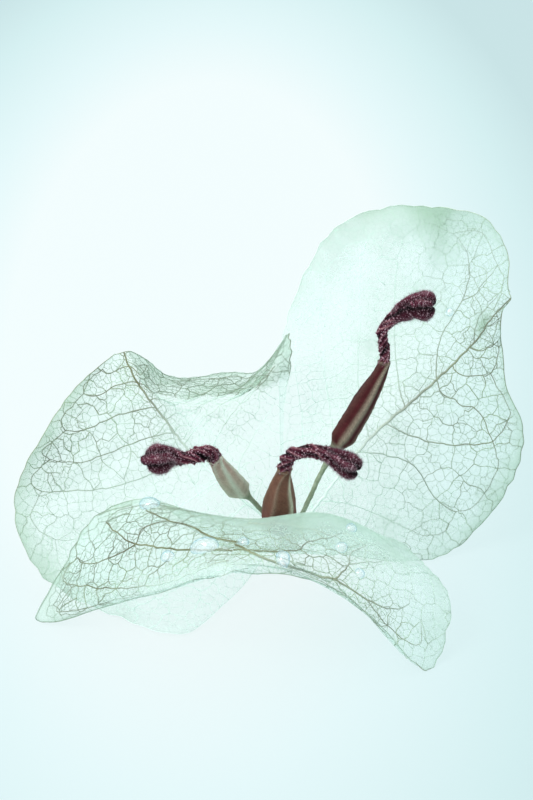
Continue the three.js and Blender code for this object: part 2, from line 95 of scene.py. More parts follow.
FRONT_BRACT = np.array([
    [[0.3, -1.4, -6.6], [0, -1.5, -6.6], [-0.3, -1.5, -6.6], [-0.6, -1.4, -6.6],
     [-0.9, -1.4, -6.6]],
    [[4.5, -2, -4.5], [1.6, -1.8, -3.8], [-0.9, -1.8, -3.6], [-2.8, -1.6, -3.4], [-5, -1.3, -2.8]],
    [[9.5, -0.5, -3.5], [2.4, 0.4, 1], [-2.2, 0.2, 1.2], [-6.4, 1, 1], [-11, 1.2, -1]],
    [[13.5, -0.8, -1.5], [3.8, 3.1, 3], [-3.8, 2.6, 4], [-10, 3.1, 1.5], [-16.3, 4.7, -1.2]],
    [[17, -4.3, 1.5], [5.6, 1.5, 6], [-5, 1.4, 7.5], [-13.5, 2.6, 3.5], [-21.2, 3.2, -2]],
    [[18, -9, 5], [6.5, -1.5, 8.5], [-5.6, 0.5, 10], [-16, 0, 5], [-25.5, -2.5, -2.5]],
    [[15.7, -14.2, 6.2], [5.6, -3.6, 10.5], [-6.1, -0.4, 12.5], [-18, -3.4, 5], [-29, -9.2, -2.5]],
    [[10.2, -9, 8.5], [2.6, -3, 11.5], [-6.5, -1.3, 14.5], [-14, -4, 9.5], [-22, -7.8, 2]],
    [[2.6, -3.7, 11], [-2, -2, 13.5], [-6.8, -2.1, 15.8], [-10, -3.6, 12.8], [-13, -4.8, 10]],
    [[-5.8, -2.2, 15.8], [-6.4, -2.4, 16.4], [-7, -2.7, 16.8], [-7.4, -2.8, 16.3],
     [-7.7, -2.8, 15.8]],
])

# Pleats of the right bract: where each starts and where it reaches the margin, as (row, column),
# its height and its width. A row and a column count as this many mm there.
ROW_SPACING, COLUMN_SPACING = 4, 9
RIGHT_PLEATS = [
    ((4.8, 1.8), (6.3, -0.1), 1.1, 1.6),
    ((2.9, 1.55), (5.2, 0.2), 1.0, 1.8),
    ((3.0, 0.5), (4.5, -0.05), 0.9, 1.7),
]

# ---------------------------------------------------------------------------- vein drawings
# Main veins as (row, column) points on the drawings above, with the radius in mm at each end.
# Loops near the margins join each side vein to the next one, as bougainvillea veins do.
RIGHT_VEINS = [
    (0.11, 0.06, [(5.75, 2), (5.65, 2.25), (5.85, 2.75), (6.15, 3.3)]),
    (0.1, 0.07, [(5, 2), (4.8, 2.3), (4.88, 2.5), (4.8, 2.7), (4.9, 3), (4.65, 3.27),
     (4.5, 3.43)]),
    (0.12, 0.09, [(3.3, 2), (3.55, 2.4), (3.7, 2.65), (3.95, 2.93), (4.5, 3.43)]),
    (0.13, 0.09, [(2.4, 2), (2.85, 2.35), (3.0, 2.6), (2.95, 2.9), (2.9, 3.1), (2.95, 3.35),
     (3.1, 3.57)]),
    (0.1, 0.06, [(6.6, 2), (6.7, 2.3), (6.95, 2.8), (7.3, 3.5)]),
    (0.08, 0.04, [(7.7, 2), (7.9, 2.6), (8.3, 3.3)]),
    (0.12, 0.06, [(1.2, 2), (1.6, 2.6), (1.95, 3.2), (2.3, 3.6)]),
    (0.07, 0.05, [(2.3, 3.6), (2.7, 3.68), (3.1, 3.57), (3.35, 3.7), (3.8, 3.72)]),
    (0.08, 0.05, [(4.5, 3.43), (4.95, 3.6), (5.3, 3.75)]),
    (0.07, 0.05, [(4.5, 3.43), (4.2, 3.68), (3.8, 3.72)]),
    (0.07, 0.05, [(6.15, 3.3), (5.7, 3.68), (5.3, 3.75)]),
    (0.07, 0.05, [(6.15, 3.3), (6.9, 3.65), (7.3, 3.5)]),
    (0.13, 0.06, [(0.9, 2), (1.3, 1.5), (1.8, 0.95), (2.4, 0.45)]),
    (0.13, 0.06, [(1.8, 2), (2.3, 1.5), (2.9, 0.95), (3.5, 0.4)]),
    (0.13, 0.06, [(2.8, 2), (3.25, 1.5), (3.9, 0.95), (4.5, 0.4)]),
    (0.12, 0.06, [(3.9, 2), (4.3, 1.5), (4.8, 0.95), (5.4, 0.4)]),
    (0.1, 0.06, [(5, 2), (5.7, 1.63), (6.6, 1.37), (6.8, 1.1), (6.7, 0.7), (6.4, 0.4)]),
    (0.09, 0.05, [(6.6, 1.37), (7.1, 1.3), (7.5, 1), (7.7, 0.6)]),
    (0.09, 0.05, [(6.8, 2), (7.2, 1.7), (7.8, 1.5), (8.2, 1.1)]),
    (0.07, 0.05, [(2.4, 0.45), (3, 0.28), (3.5, 0.4)]),
    (0.07, 0.05, [(3.5, 0.4), (4, 0.24), (4.5, 0.4)]),
    (0.07, 0.05, [(4.5, 0.4), (5, 0.24), (5.4, 0.4)]),
    (0.07, 0.05, [(5.4, 0.4), (5.9, 0.24), (6.4, 0.4)]),
    (0.07, 0.05, [(6.4, 0.4), (7, 0.3), (7.7, 0.6)]),
    (0.07, 0.04, [(7.7, 0.6), (8.1, 0.7), (8.2, 1.1)]),
]

LEFT_VEINS = [
    (0.09, 0.05, [(8.1, 2), (8.3, 1.3), (8.45, 0.4)]),
    (0.09, 0.07, [(7.15, 2), (7.55, 1.4), (7.7, 0.43)]),
    (0.1, 0.07, [(5.7, 2), (6.05, 1.67), (6.45, 1.27), (6.75, 0.5)]),
    (0.1, 0.06, [(4.6, 2), (5.15, 1.5), (5.6, 0.95), (6, 0.45)]),
    (0.12, 0.07, [(3.6, 2), (4.5, 1.17), (5, 0.77), (5.3, 0.4)]),
    (0.13, 0.06, [(2.5, 2), (3.2, 1.4), (3.8, 0.8), (4.35, 0.35)]),
    (0.13, 0.06, [(1.4, 2), (2, 1.4), (2.6, 0.8), (3.2, 0.35)]),
    (0.08, 0.06, [(7.7, 0.43), (7.95, 0.25), (8.45, 0.4)]),
    (0.08, 0.06, [(6.75, 0.5), (7.05, 0.25), (7.4, 0.3), (7.7, 0.43)]),
    (0.08, 0.06, [(6, 0.45), (6.35, 0.22), (6.75, 0.5)]),
    (0.08, 0.06, [(5.3, 0.4), (5.7, 0.2), (6, 0.45)]),
    (0.07, 0.05, [(4.35, 0.35), (4.9, 0.2), (5.3, 0.4)]),
    (0.07, 0.05, [(3.2, 0.35), (3.8, 0.2), (4.35, 0.35)]),
    (0.09, 0.05, [(8.1, 2), (8.3, 2.7), (8.5, 3.5), (8.55, 4.3)]),
    (0.09, 0.05, [(7.1, 2), (7.25, 2.8), (7.4, 3.6), (7.7, 4.6)]),
    (0.1, 0.06, [(6.1, 2), (6.3, 2.8), (6.55, 3.6), (6.8, 4.6)]),
    (0.1, 0.07, [(5.1, 2), (5.35, 2.8), (5.6, 3.7), (5.9, 4.6)]),
    (0.11, 0.06, [(4.1, 2), (4.4, 2.8), (4.75, 3.7), (5, 4.6)]),
    (0.12, 0.06, [(3.1, 2), (3.45, 2.8), (3.85, 3.8), (4.2, 4.6)]),
    (0.12, 0.06, [(2.1, 2), (2.45, 3), (2.9, 4), (3.3, 4.6)]),
    (0.11, 0.05, [(1.1, 2), (1.5, 3), (1.9, 4)]),
    (0.07, 0.05, [(5, 4.6), (5.4, 4.8), (5.9, 4.6), (6.4, 4.75), (6.8, 4.6), (7.3, 4.75),
     (7.7, 4.6)]),
]

FRONT_VEINS = [
    (0.19, 0.09, [(5.15, 2), (4.8, 2.27), (4.25, 2.63), (4.1, 2.97), (3.85, 3.3), (3.55, 3.67)]),
    (0.09, 0.08, [(4.15, 2.95), (4.4, 3.07), (4.65, 3.13), (5, 3.1)]),
    (0.14, 0.1, [(6, 2), (5.7, 2.4), (5.15, 2.9), (5, 3.1), (4.55, 3.5), (4.3, 3.75)]),
    (0.1, 0.07, [(5, 3.1), (5.25, 3.25), (5.25, 3.55), (5.1, 3.78)]),
    (0.08, 0.06, [(5.1, 3.78), (5, 3.86), (5.1, 3.92), (5.35, 3.88), (5.6, 3.62)]),
    (0.12, 0.08, [(7, 2), (7.3, 2.55), (7.15, 3.05), (6.45, 3.23), (5.85, 3.4), (5.6, 3.62)]),
    (0.09, 0.05, [(8, 2), (8.15, 2.5), (8.1, 3), (7.5, 3.4), (6.8, 3.65)]),
    (0.07, 0.05, [(6.8, 3.65), (6.2, 3.78), (5.6, 3.62)]),
    (0.13, 0.06, [(1.4, 2), (1.7, 2.6), (2.1, 3.1), (2.6, 3.6)]),
    (0.13, 0.06, [(2.6, 2), (2.75, 2.5), (3, 3), (3.3, 3.55)]),
    (0.07, 0.05, [(2.6, 3.6), (2.95, 3.7), (3.3, 3.55), (3.55, 3.67), (3.9, 3.8), (4.3, 3.75)]),
    (0.12, 0.08, [(5.9, 2), (5.7, 1.65), (5.4, 1.48), (4.75, 1.37), (4.4, 1.13), (4.1, 0.93),
     (4.35, 0.8)]),
    (0.2, 0.17, [(5.4, 2), (6.55, 1.67), (7, 1.35), (6.95, 1.12), (6.3, 1.02)]),
    (0.14, 0.09, [(6.3, 1.02), (5.65, 1.03), (5.25, 1), (4.8, 0.97), (4.35, 0.8)]),
    (0.09, 0.06, [(5.25, 1), (4.9, 0.85), (4.65, 0.7), (3.95, 0.47)]),
    (0.15, 0.08, [(6.3, 1.02), (6.2, 0.87), (6, 0.75), (5.8, 0.63), (5.6, 0.53), (5.2, 0.4)]),
    (0.08, 0.06, [(6, 0.75), (6.15, 0.5), (5.9, 0.28), (5.65, 0.2), (5.4, 0.25)]),
    (0.1, 0.05, [(7.5, 2), (7.7, 1.5), (7.5, 1), (7, 0.6), (6.5, 0.3)]),
    (0.13, 0.06, [(1.4, 2), (1.7, 1.4), (2.1, 0.85), (2.6, 0.4)]),
    (0.13, 0.06, [(2.5, 2), (2.8, 1.45), (3.2, 0.9), (3.7, 0.42)]),
    (0.12, 0.07, [(3.5, 2), (3.7, 1.6), (4.1, 1.3), (4.4, 1.13)]),
    (0.07, 0.05, [(2.6, 0.4), (3.15, 0.26), (3.7, 0.42), (3.95, 0.47), (4.5, 0.4), (5.2, 0.4)]),
]
MIDRIB_RADII = {"bract_right": (0.36, 0.09), "bract_left": (0.3, 0.11), "bract_front": (0.1, 0.06)}

# Soft spots of each bract, as (row, column, rows tall, columns wide, amount). DENSE: where the
# dried paper is denser and greener, or below 0 thinner and clearer. PALE: where the veins are
# slighter and paler, or below 0 darker.
DENSE = {
    "bract_right": [
        (1.3, 0, 1.7, 0.7, -0.9), (6.1, 0.4, 0.4, 0.9, 0.4), (7.5, 1.9, 0.7, 0.3, 0.6),
        (4.6, 4, 2.2, 0.35, 0.25), (1.6, 3.2, 1, 0.8, 0.15), (5, 0, 2.5, 0.5, 0.25),
        (4.4, 1.2, 1.2, 0.3, 0.25), (8, 3.4, 0.8, 0.6, 0.25), (4.5, 3, 2.5, 0.8, 0.05)],
    "bract_left": [
        (4.5, 0, 2.5, 0.3, 0.25), (7.4, 0.2, 1.2, 0.4, 0.25), (6, 1, 2, 0.9, 0.12),
        (1.6, 0.8, 1.5, 1.4, -0.5), (3.6, 3, 1.6, 1.2, -0.2)],
    "bract_front": [
        (3.1, 1, 1.3, 0.8, 0.4), (3.4, 3, 1.1, 1, 0.25), (6.2, 4, 1, 0.4, 0.2),
        (2.6, 2, 1, 0.7, 0.25), (6, 2.6, 1.2, 1.3, -0.15), (5.6, 0.5, 1, 0.5, -0.1)],
}
PALE = {
    "bract_right": [
        (4, 0.3, 2.6, 1.3, 1), (1, 2, 2, 2.4, 0.85), (8, 1, 1.1, 1.2, 0.2)],
    "bract_left": [
        (1.2, 3, 2.6, 3, 0.9), (1.8, 0.8, 1.6, 1.2, 0.75), (2.5, 5, 3, 1.2, 0.9),
        (4.6, 2.6, 2.4, 0.5, 0.8), (2.8, 0.6, 1.9, 1.2, 0.6), (8.3, 1.8, 0.9, 0.8, -0.4)],
    "bract_front": [
        (1.2, 2, 1.8, 3, 0.85), (4, 0.3, 2.2, 0.8, 0.65), (7.8, 3.2, 1.1, 1.1, 0.7),
        (3.4, 1.2, 0.9, 0.7, 0.45), (8.2, 1.5, 1.2, 1.5, 0.6), (4.8, 3.3, 1.3, 0.7, -0.35),
        (6, 3.9, 0.8, 0.4, -0.3), (6, 0.3, 0.7, 0.5, -0.15)],
}
# The left bract's curled rim starts at this line of (row, column).
RIM_LINE = [(8.6, 2.5), (7.85, 3.03), (7.4, 3.37), (6.3, 3.53), (5.05, 3.67), (3.8, 4.3), (3.7, 5)]

# ---------------------------------------------------------------------------- flower drawings
# Stations up each flower: place, radius, and turns of twist so far.
RIGHT_FLOWER = [
    ((0.5, 0.1, -7.2), 0.3, 0), ((2.2, 3.8, -5), 0.28, 0), ((4, 7.8, -3.2), 0.3, 0),
    ((5.7, 10.7, -2.2), 0.9, 0), ((6.4, 11.9, -1.8), 1.5, 0), ((8.5, 15.5, -0.5), 1.4, 0.03),
    ((10.9, 20.2, 1), 0.7, 0.1), ((10.8, 22.1, 1.6), 0.65, 0.7), ((10.6, 23.6, 2.1), 0.65, 1.4),
    ((11.9, 25.2, 2.6), 0.82, 1.75), ((13.6, 26.3, 3), 1.25, 1.85),
    ((15.3, 26.7, 3.2), 1.65, 1.9), ((16.6, 26.7, 3.2), 0.6, 1.9),
]
LEFT_FLOWER = [
    ((-0.5, -0.1, -6.9), 0.3, 0), ((-2, 2, -4.6), 0.28, 0), ((-4.2, 4.5, -2.8), 0.3, 0),
    ((-5.3, 5.5, -1.5), 1, 0), ((-5.8, 6, -0.5), 1.45, 0), ((-7.1, 7.6, 2.8), 1.3, 0.03),
    ((-8.1, 9.3, 6.2), 0.85, 0.1), ((-8.6, 10.1, 7.5), 0.85, 0.3),
    ((-9.9, 9.9, 8.2), 0.95, 0.8), ((-11.3, 9.5, 8.3), 0.78, 1.3),
    ((-12.7, 9.7, 8.3), 1.15, 1.5), ((-14.4, 9.4, 8.3), 1.7, 1.55), ((-16.2, 9.3, 8.1), 0.6, 1.6),
]
MIDDLE_FLOWER = [
    ((-0.1, -0.6, -6.5), 0.3, 0), ((-0.6, 0.2, -4.9), 0.32, 0), ((-1, 1.2, -3.2), 1, 0),
    ((-1, 2.3, -1.8), 2.1, 0), ((-0.9, 4.3, 0.6), 1.95, 0.02), ((-0.5, 8, 4.9), 0.85, 0.1),
    ((-0.2, 9.3, 6.4), 0.85, 0.4), ((0.8, 10.1, 7.3), 0.85, 0.9), ((2.5, 10.3, 7.8), 0.8, 1.2),
    ((4.2, 9.9, 8), 1, 1.4), ((6, 9.1, 8), 1.4, 1.5), ((7.2, 8.5, 7.8), 1.4, 1.5),
    ((8, 8, 7.6), 0.6, 1.5),
]
RIBS = 5
HEART, HEART_RADIUS, PEDUNCLE_RADIUS = (0, -1, -8), 1.15, 0.7
PEDUNCLE = [HEART, (0.3, -1.3, -10.5), (0.8, -0.9, -13.8), (1.5, -0.15, -16.8)]

# Drops: the bract each lies on, its row and column there, and its length, width and height.
DROPS = [
    ("front", 5.8, 2.25, 3.6, 2.6, 1.2), ("front", 3.5, 3.55, 2.2, 1.8, 0.8),
    ("front", 5.9, 2.58, 2, 1.6, 0.8), ("front", 5.3, 1.93, 1.5, 1.6, 0.6),
    ("front", 6.45, 1.5, 1.9, 2, 0.8), ("front", 3.85, 0.87, 1.2, 1.2, 0.5),
    ("front", 4.75, 1.07, 1.4, 1.3, 0.6), ("front", 5.45, 0.9, 1.2, 1.2, 0.5),
    ("right", 6.2, 1.43, 1.1, 1.1, 0.5),
]

CAMERA_DISTANCE = 252.0  # from the drawing's plane z = 0
VIEW_CENTRE = (-2.443, 15.909)  # the point of that plane in the middle of the picture
FOCAL_LENGTH, SENSOR_WIDTH = 99.8, 36


def laid_down(points):
    """Points of the drawing, in mm, as points of the part's frame, in metres."""
    x, y, z = np.moveaxis(np.asarray(points, float), -1, 0)
    c, s = math.cos(LEAN_BACK), math.sin(LEAN_BACK)
    turned = np.stack([x, c * y - s * z, s * y + c * z], -1)
    return (turned + BLOOM_PLACE) * MM


# ---------------------------------------------------------------------------- curves and sheets
def spline(controls, at, each=False):
    """Centripetal spline through the controls' first axis at shares 0 to 1.

    With each, controls' second axis goes with at, one curve for each share."""
    n = len(controls)
    ends = [2 * controls[:1] - controls[1:2], controls, 2 * controls[-1:] - controls[-2:-1]]
    padded = np.concatenate(ends)
    x = np.clip(np.asarray(at, float), 0, 1) * (n - 1)
    i = np.minimum(x.astype(int), n - 2)
    w = x - i
    which = (lambda k: padded[i + k, np.arange(len(i))]) if each else (lambda k: padded[i + k])
    p0, p1, p2, p3 = (which(k) for k in range(4))
    gap = lambda a, b: np.power(((a - b) ** 2).sum(-1, keepdims=True), 0.25)
    t1 = gap(p1, p2)
    t1 = np.where(t1 < 1e-4, 1, t1)
    t0, t2 = gap(p0, p1), gap(p2, p3)
    t0, t2 = np.where(t0 < 1e-4, t1, t0), np.where(t2 < 1e-4, t1, t2)
    m1 = ((p1 - p0) / t0 - (p2 - p0) / (t0 + t1) + (p2 - p1) / t1) * t1
    m2 = ((p2 - p1) / t1 - (p3 - p1) / (t1 + t2) + (p3 - p2) / t2) * t1
    w = w.reshape((-1,) + (1,) * (p1.ndim - 1))
    cubic = (2 * p1 - 2 * p2 + m1 + m2) * w ** 3 + (-3 * p1 + 3 * p2 - 2 * m1 - m2) * w ** 2
    return cubic + m1 * w + p1


def unit(v):
    return v / np.maximum(np.linalg.norm(v, axis=-1, keepdims=True), 1e-9)


def through(points, step):
    """A smooth line through points of any dimension, sampled about every step."""
    points = np.asarray(points, float)
    length = np.linalg.norm(np.diff(points, axis=0), axis=1).sum()
    return spline(points, np.linspace(0, 1, max(int(length / step), 4) + 1))


# How far spots along the margins are drawn in, as shares of a half blade, and the outer share of
# it that is drawn in. The two margins of a blade start at different spots.
NIBBLES = np.random.default_rng(5).uniform(0, 1, 101) ** 2 * 0.022
NIBBLES_EACH_ROW, LEFT_START, RIGHT_START = 6, 5.0, 25.0
RAGGED_BAND = 0.2


class Blade:
    """A bract's middle surface by (row, column), and its paper laid out flat in mm."""

    def __init__(self, drawing, pleats):
        self.drawing, self.pleats = drawing, pleats
        self.rows, self.columns = drawing.shape[0] - 1, drawing.shape[1] - 1
        self.lay_flat()

    def drawn(self, places):
        """The drawing's points at (row, column) places."""
        across = np.moveaxis(spline(self.drawing, places[:, 0] / self.rows), 1, 0)
        return spline(across, places[:, 1] / self.columns, each=True)

    def facing(self, places, surface):
        """Directions square to a surface, towards the blade's upper face."""
        step = 0.05
        row, column = places.T
        at = lambda r, c: surface(np.column_stack([
            np.clip(r, 0, self.rows), np.clip(c, 0, self.columns)]))
        across = at(row, column + step) - at(row, column - step)
        along = at(row + step, column) - at(row - step, column)
        return unit(np.cross(unit(across), unit(along)))

    def outwards(self, column):
        """Share of the way from the midrib to the margin."""
        left = (MIDRIB_COLUMN - column) / MIDRIB_COLUMN
        right = (column - MIDRIB_COLUMN) / (self.columns - MIDRIB_COLUMN)
        return np.where(column < MIDRIB_COLUMN, left, right)

    def ragged(self, places):
        """Draws the margins in a little, by more in some spots than in others."""
        row, column = places.T
        start = np.where(column < MIDRIB_COLUMN, LEFT_START, RIGHT_START)
        nibble = np.interp(row * NIBBLES_EACH_ROW + start, np.arange(len(NIBBLES)), NIBBLES)
        band = np.clip((self.outwards(column) - (1 - RAGGED_BAND)) / RAGGED_BAND, 0, 1)
        inwards = 1 - nibble * band ** 2
        return np.column_stack([row, MIDRIB_COLUMN + (column - MIDRIB_COLUMN) * inwards])

    def pleated(self, places):
        """How far the pleats lift the paper."""
        lift = np.zeros(len(places))
        for start, end, height, width in self.pleats:
            scale = np.array([ROW_SPACING, COLUMN_SPACING])
            run, here = (np.array(end) - start) * scale, (places - start) * scale
            along = np.clip(here @ run / (run @ run), 0, 1)
            away = np.linalg.norm(here - along[:, None] * run, axis=1)
            lift += height * np.sin(np.pi / 2 * along) * np.exp(-(away / width) ** 2)
        return lift

    def surface(self, places):
        """The blade's middle surface: its drawing, bulged between side veins, waved and pleated."""
        places = self.ragged(np.asarray(places, float))
        row, out = places[:, 0], self.outwards(places[:, 1])
        bulge = QUILT * np.sin(np.pi * row) ** 2 * np.sin(np.pi * out)
        wave = MARGIN_WAVE * out ** 4 * np.sin(np.pi * row)
        lift = bulge + wave + self.pleated(places)
        return self.drawn(places) + self.facing(places, self.drawn) * lift[:, None]

    def lay_flat(self, per_row=8, per_column=12):
        """Unwraps the blade, so that its net of veins can be grown in the plane."""
        r, c = self.rows * per_row + 1, self.columns * per_column + 1
        grid = np.stack(np.meshgrid(
            np.linspace(0, self.rows, r), np.linspace(0, self.columns, c), indexing="ij"), -1)
        self.grid = grid.reshape(-1, 2)
        points = self.surface(self.grid)
        a = (np.arange(r - 1)[:, None] * c + np.arange(c - 1)).ravel()
        quads = np.column_stack([a, a + 1, a + c + 1, a + c])
        mesh = bpy.data.meshes.new("flat")
        mesh.from_pydata(points.tolist(), [], quads.tolist())
        mesh.uv_layers.new(name="flat")
        sheet = bpy.data.objects.new("flat", mesh)
        bpy.context.scene.collection.objects.link(sheet)
        bpy.context.view_layer.objects.active = sheet
        sheet.select_set(True)
        bpy.ops.object.mode_set(mode="EDIT")
        bpy.ops.mesh.select_all(action="SELECT")
        bpy.ops.uv.unwrap(method="ANGLE_BASED", margin=0)
        bpy.ops.object.mode_set(mode="OBJECT")
        corners = np.zeros(len(mesh.loops) * 2)
        mesh.uv_layers["flat"].data.foreach_get("uv", corners)
        flat = np.zeros((len(points), 2))
        flat[quads.ravel()] = corners.reshape(-1, 2)
        bpy.data.objects.remove(sheet)
        bpy.data.meshes.remove(mesh)
        span = lambda p: np.linalg.norm(p[quads[:, 0]] - p[quads[:, 2]], axis=1).sum()
        self.flat = flat * span(points) / span(flat)
        self.faces = np.concatenate([quads[:, [0, 1, 2]], quads[:, [0, 2, 3]]])
        lifted = np.column_stack([self.flat, np.zeros(len(flat))])
        self.tree = BVHTree.FromPolygons(lifted.tolist(), self.faces.tolist())
        self.shape, self.per = (r, c), (per_row, per_column)

    def to_flat(self, places):
        """Points in the plane of (row, column) places."""
        x = np.clip(np.asarray(places, float), 0, [self.rows, self.columns]) * self.per
        i = np.minimum(x.astype(int), np.array(self.shape) - 2)
        w = x - i
        flat = self.flat.reshape(*self.shape, 2)
        u, v = w[:, :1], w[:, 1:]
        near = flat[i[:, 0], i[:, 1]] * (1 - v) + flat[i[:, 0], i[:, 1] + 1] * v
        far = flat[i[:, 0] + 1, i[:, 1]] * (1 - v) + flat[i[:, 0] + 1, i[:, 1] + 1] * v
        return near * (1 - u) + far * u

    def miss(self, spot):
        """How far a point of the plane lies outside the blade."""
        return self.tree.find_nearest((spot[0], spot[1], 0))[3]

    def to_places(self, flat):
        """(row, column) of points in the plane; one outside goes to the nearest of the margin."""
        places = np.zeros((len(flat), 2))
        for k, (x, y) in enumerate(flat):
            hit, _, face, _ = self.tree.find_nearest((x, y, 0))
            corner = self.faces[face]
            (ax, ay), (bx, by), (cx, cy) = self.flat[corner]
            area = (bx - ax) * (cy - ay) - (cx - ax) * (by - ay) or 1e-9
            b = ((hit.x - ax) * (cy - ay) - (cx - ax) * (hit.y - ay)) / area
            c = ((bx - ax) * (hit.y - ay) - (hit.x - ax) * (by - ay)) / area
            places[k] = self.grid[corner[0]] * (1 - b - c) + self.grid[corner[1]] * b \
                + self.grid[corner[2]] * c
        return places


# ---------------------------------------------------------------------------- growing the net
ON_BLADE = 1e-4  # a point that misses the blade by less than this lies on it
CELL_JITTER = 0.22  # how unevenly cells follow a line, as a share of their pitch
SCATTER = 0.86  # how near other cells may come, as a share of their pitch
TRIES = 9000  # random spots tried for cells 1 mm across
SHORTEST_WALL = 0.04
BENT = 0.09  # how far walls bend aside, as a share of their length
KINK, KINK_SPACING, KINK_FADE = 0.07, 0.6, 0.8  # how main veins wander, and keep their ends


def run_along(line):
    """How far along a line each of its points is."""
    return np.concatenate([[0], np.cumsum(np.linalg.norm(np.diff(line, axis=0), axis=1))])


def aside(way):
    """Directions in the plane, turned a quarter to the left."""
    return np.stack([-way[..., 1], way[..., 0]], -1)


def alongside(lines, pitch, reach, rng):
    """Cell centres in pairs mirrored across each line, so that cells meet along it."""
    seeds = []
    for line in lines:
        run = run_along(line)
        at = np.arange(pitch * 0.5, run[-1], pitch)
        if len(at) == 0:
            continue
        at = np.clip(at + rng.uniform(-CELL_JITTER, CELL_JITTER, len(at)) * pitch, 0, run[-1])
        spot = lambda s: np.column_stack([np.interp(s, run, line[:, k]) for k in (0, 1)])
        way = unit(spot(at + 0.1) - spot(at - 0.1))
        off = rng.uniform(0.85, 1.15, len(at))[:, None] * reach * aside(way)
        for here, step in zip(spot(at), off):
            seeds += [here + step, here - step]
    return seeds


def scattered(blade, seeds, spacing, tries, rng):
    """More cell centres at random over the blade, none nearer to another than the spacing."""
    bins = {}
    bin_of = lambda p: (int(p[0] // spacing), int(p[1] // spacing))
    for p in seeds:
        bins.setdefault(bin_of(p), []).append(p)
    kept = []
    for p in rng.uniform(blade.flat.min(0), blade.flat.max(0), (tries, 2)):
        i, j = bin_of(p)
        near = (q for a in (-1, 0, 1) for b in (-1, 0, 1) for q in bins.get((i + a, j + b), ()))
        clear = all((p[0] - q[0]) ** 2 + (p[1] - q[1]) ** 2 > spacing ** 2 for q in near)
        if clear and blade.miss(p) < spacing:
            bins.setdefault((i, j), []).append(p)
            kept.append(p)
    return kept


def cell_walls(seeds):
    """The walls between the cells round the seeds: (seed, seed, end, end) for each."""
    points = [Vector(p) for p in seeds]
    verts, _, faces, origin = delaunay_2d_cdt(points, [], [], 0, 1e-7)[:4]
    own = [o[0] if o else -1 for o in origin]
    centres, beside = [], {}
    for f in faces:
        (ax, ay), (bx, by), (cx, cy) = (verts[k] for k in f)
        d = 2 * (ax * (by - cy) + bx * (cy - ay) + cx * (ay - by)) or 1e-9
        a, b, c = ax * ax + ay * ay, bx * bx + by * by, cx * cx + cy * cy
        centres.append(((a * (by - cy) + b * (cy - ay) + c * (ay - by)) / d,
                        (a * (cx - bx) + b * (ax - cx) + c * (bx - ax)) / d))
        for p, q in zip(f, list(f[1:]) + [f[0]]):
            beside.setdefault((min(p, q), max(p, q)), []).append(len(centres) - 1)
    return [(own[p], own[q], centres[f[0]], centres[f[1]])
            for (p, q), f in beside.items() if len(f) == 2]


def trimmed(blade, wall):
    """A wall cut off at the blade's margin, or None if it lies outside."""
    a, b = (np.array(p) for p in wall)
    a_in, b_in = blade.miss(a) < ON_BLADE, blade.miss(b) < ON_BLADE
    if not (a_in or b_in):
        return None
    if a_in and b_in:
        return a, b
    if b_in:
        a, b = b, a
    inside, outside = 0.0, 1.0
    for _ in range(12):
        middle = (inside + outside) / 2
        if blade.miss(a + (b - a) * middle) < ON_BLADE:
            inside = middle
        else:
            outside = middle
    return a, a + (b - a) * inside


def grow_net(blade, lines, pitch, reach, rng):
    """The walls of cells about pitch across that meet along the given lines."""
    seeds = alongside(lines, pitch, reach, rng)
    paired = len(seeds)
    seeds += scattered(blade, seeds, pitch * SCATTER, int(TRIES / pitch), rng)
    walls = []
    for i, j, a, b in cell_walls(seeds):
        on_a_line = i < paired and j < paired and i // 2 == j // 2
        if on_a_line or math.dist(a, b) > 4 * pitch:
            continue
        wall = trimmed(blade, (a, b))
        if wall and math.dist(*wall) > SHORTEST_WALL:
            walls.append(wall)
    return walls


def crooked(wall, rng):
    """A wall as a slightly bent line."""
    a, b = wall
    length = math.dist(a, b)
    n = 2 if length < 0.9 else 3 if length < 2 else 4
    shares = np.linspace(0, 1, n + 1)
    sway = rng.normal(0, BENT, n + 1) * (shares * (1 - shares) * 4)
    return a + (b - a) * shares[:, None] + aside(b - a) * sway[:, None]


def kinked(line, rng):
    """A line that wanders a little to either side, but keeps its ends."""
    run = run_along(line)
    knots = np.arange(0, run[-1] + 1.2, KINK_SPACING)
    sway = np.interp(run, knots, rng.normal(0, KINK, len(knots)))
    fade = np.minimum(1, np.minimum(run, run[-1] - run) / KINK_FADE)
    return line + aside(unit(np.gradient(line, axis=0))) * (sway * fade)[:, None]


# ---------------------------------------------------------------------------- meshes
def around(sides):
    """Angles all round, one for each side."""
    return 2 * np.pi * np.arange(sides) / sides


def rays(turn, side, other):
    """Directions at angles round an axis, from two directions square to it."""
    return np.cos(turn)[..., None] * side + np.sin(turn)[..., None] * other


def ring_faces(rings, sides, first):
    """Faces between rings of points, each of sides points, that follow on from the first."""
    k = np.arange(sides)
    n = (k + 1) % sides
    a = first + sides * np.arange(rings - 1)[:, None]
    return np.stack([a + k, a + n, a + sides + n, a + sides + k], -1).reshape(-1, 4).tolist()


def tubes(lines, radii, sides):
    """Closed tubes round lines of points, as one list of vertices and faces."""
    vertices, faces, count, k = [], [], 0, np.arange(sides)
    for line, radius in zip(lines, radii):
        way = unit(np.gradient(line, axis=0))
        side = np.cross(way[0], [0.3, 0.9, 0.31])
        for at, ahead, thick in zip(line, way, radius):
            side = unit(side - ahead * np.dot(side, ahead))
            vertices.append(at + thick * rays(around(sides), side, np.cross(ahead, side)))
        faces += ring_faces(len(line), sides, count)
        faces.append((count + k[::-1]).tolist())
        count += len(line) * sides
        faces.append((count - sides + k).tolist())
    return np.concatenate(vertices), faces


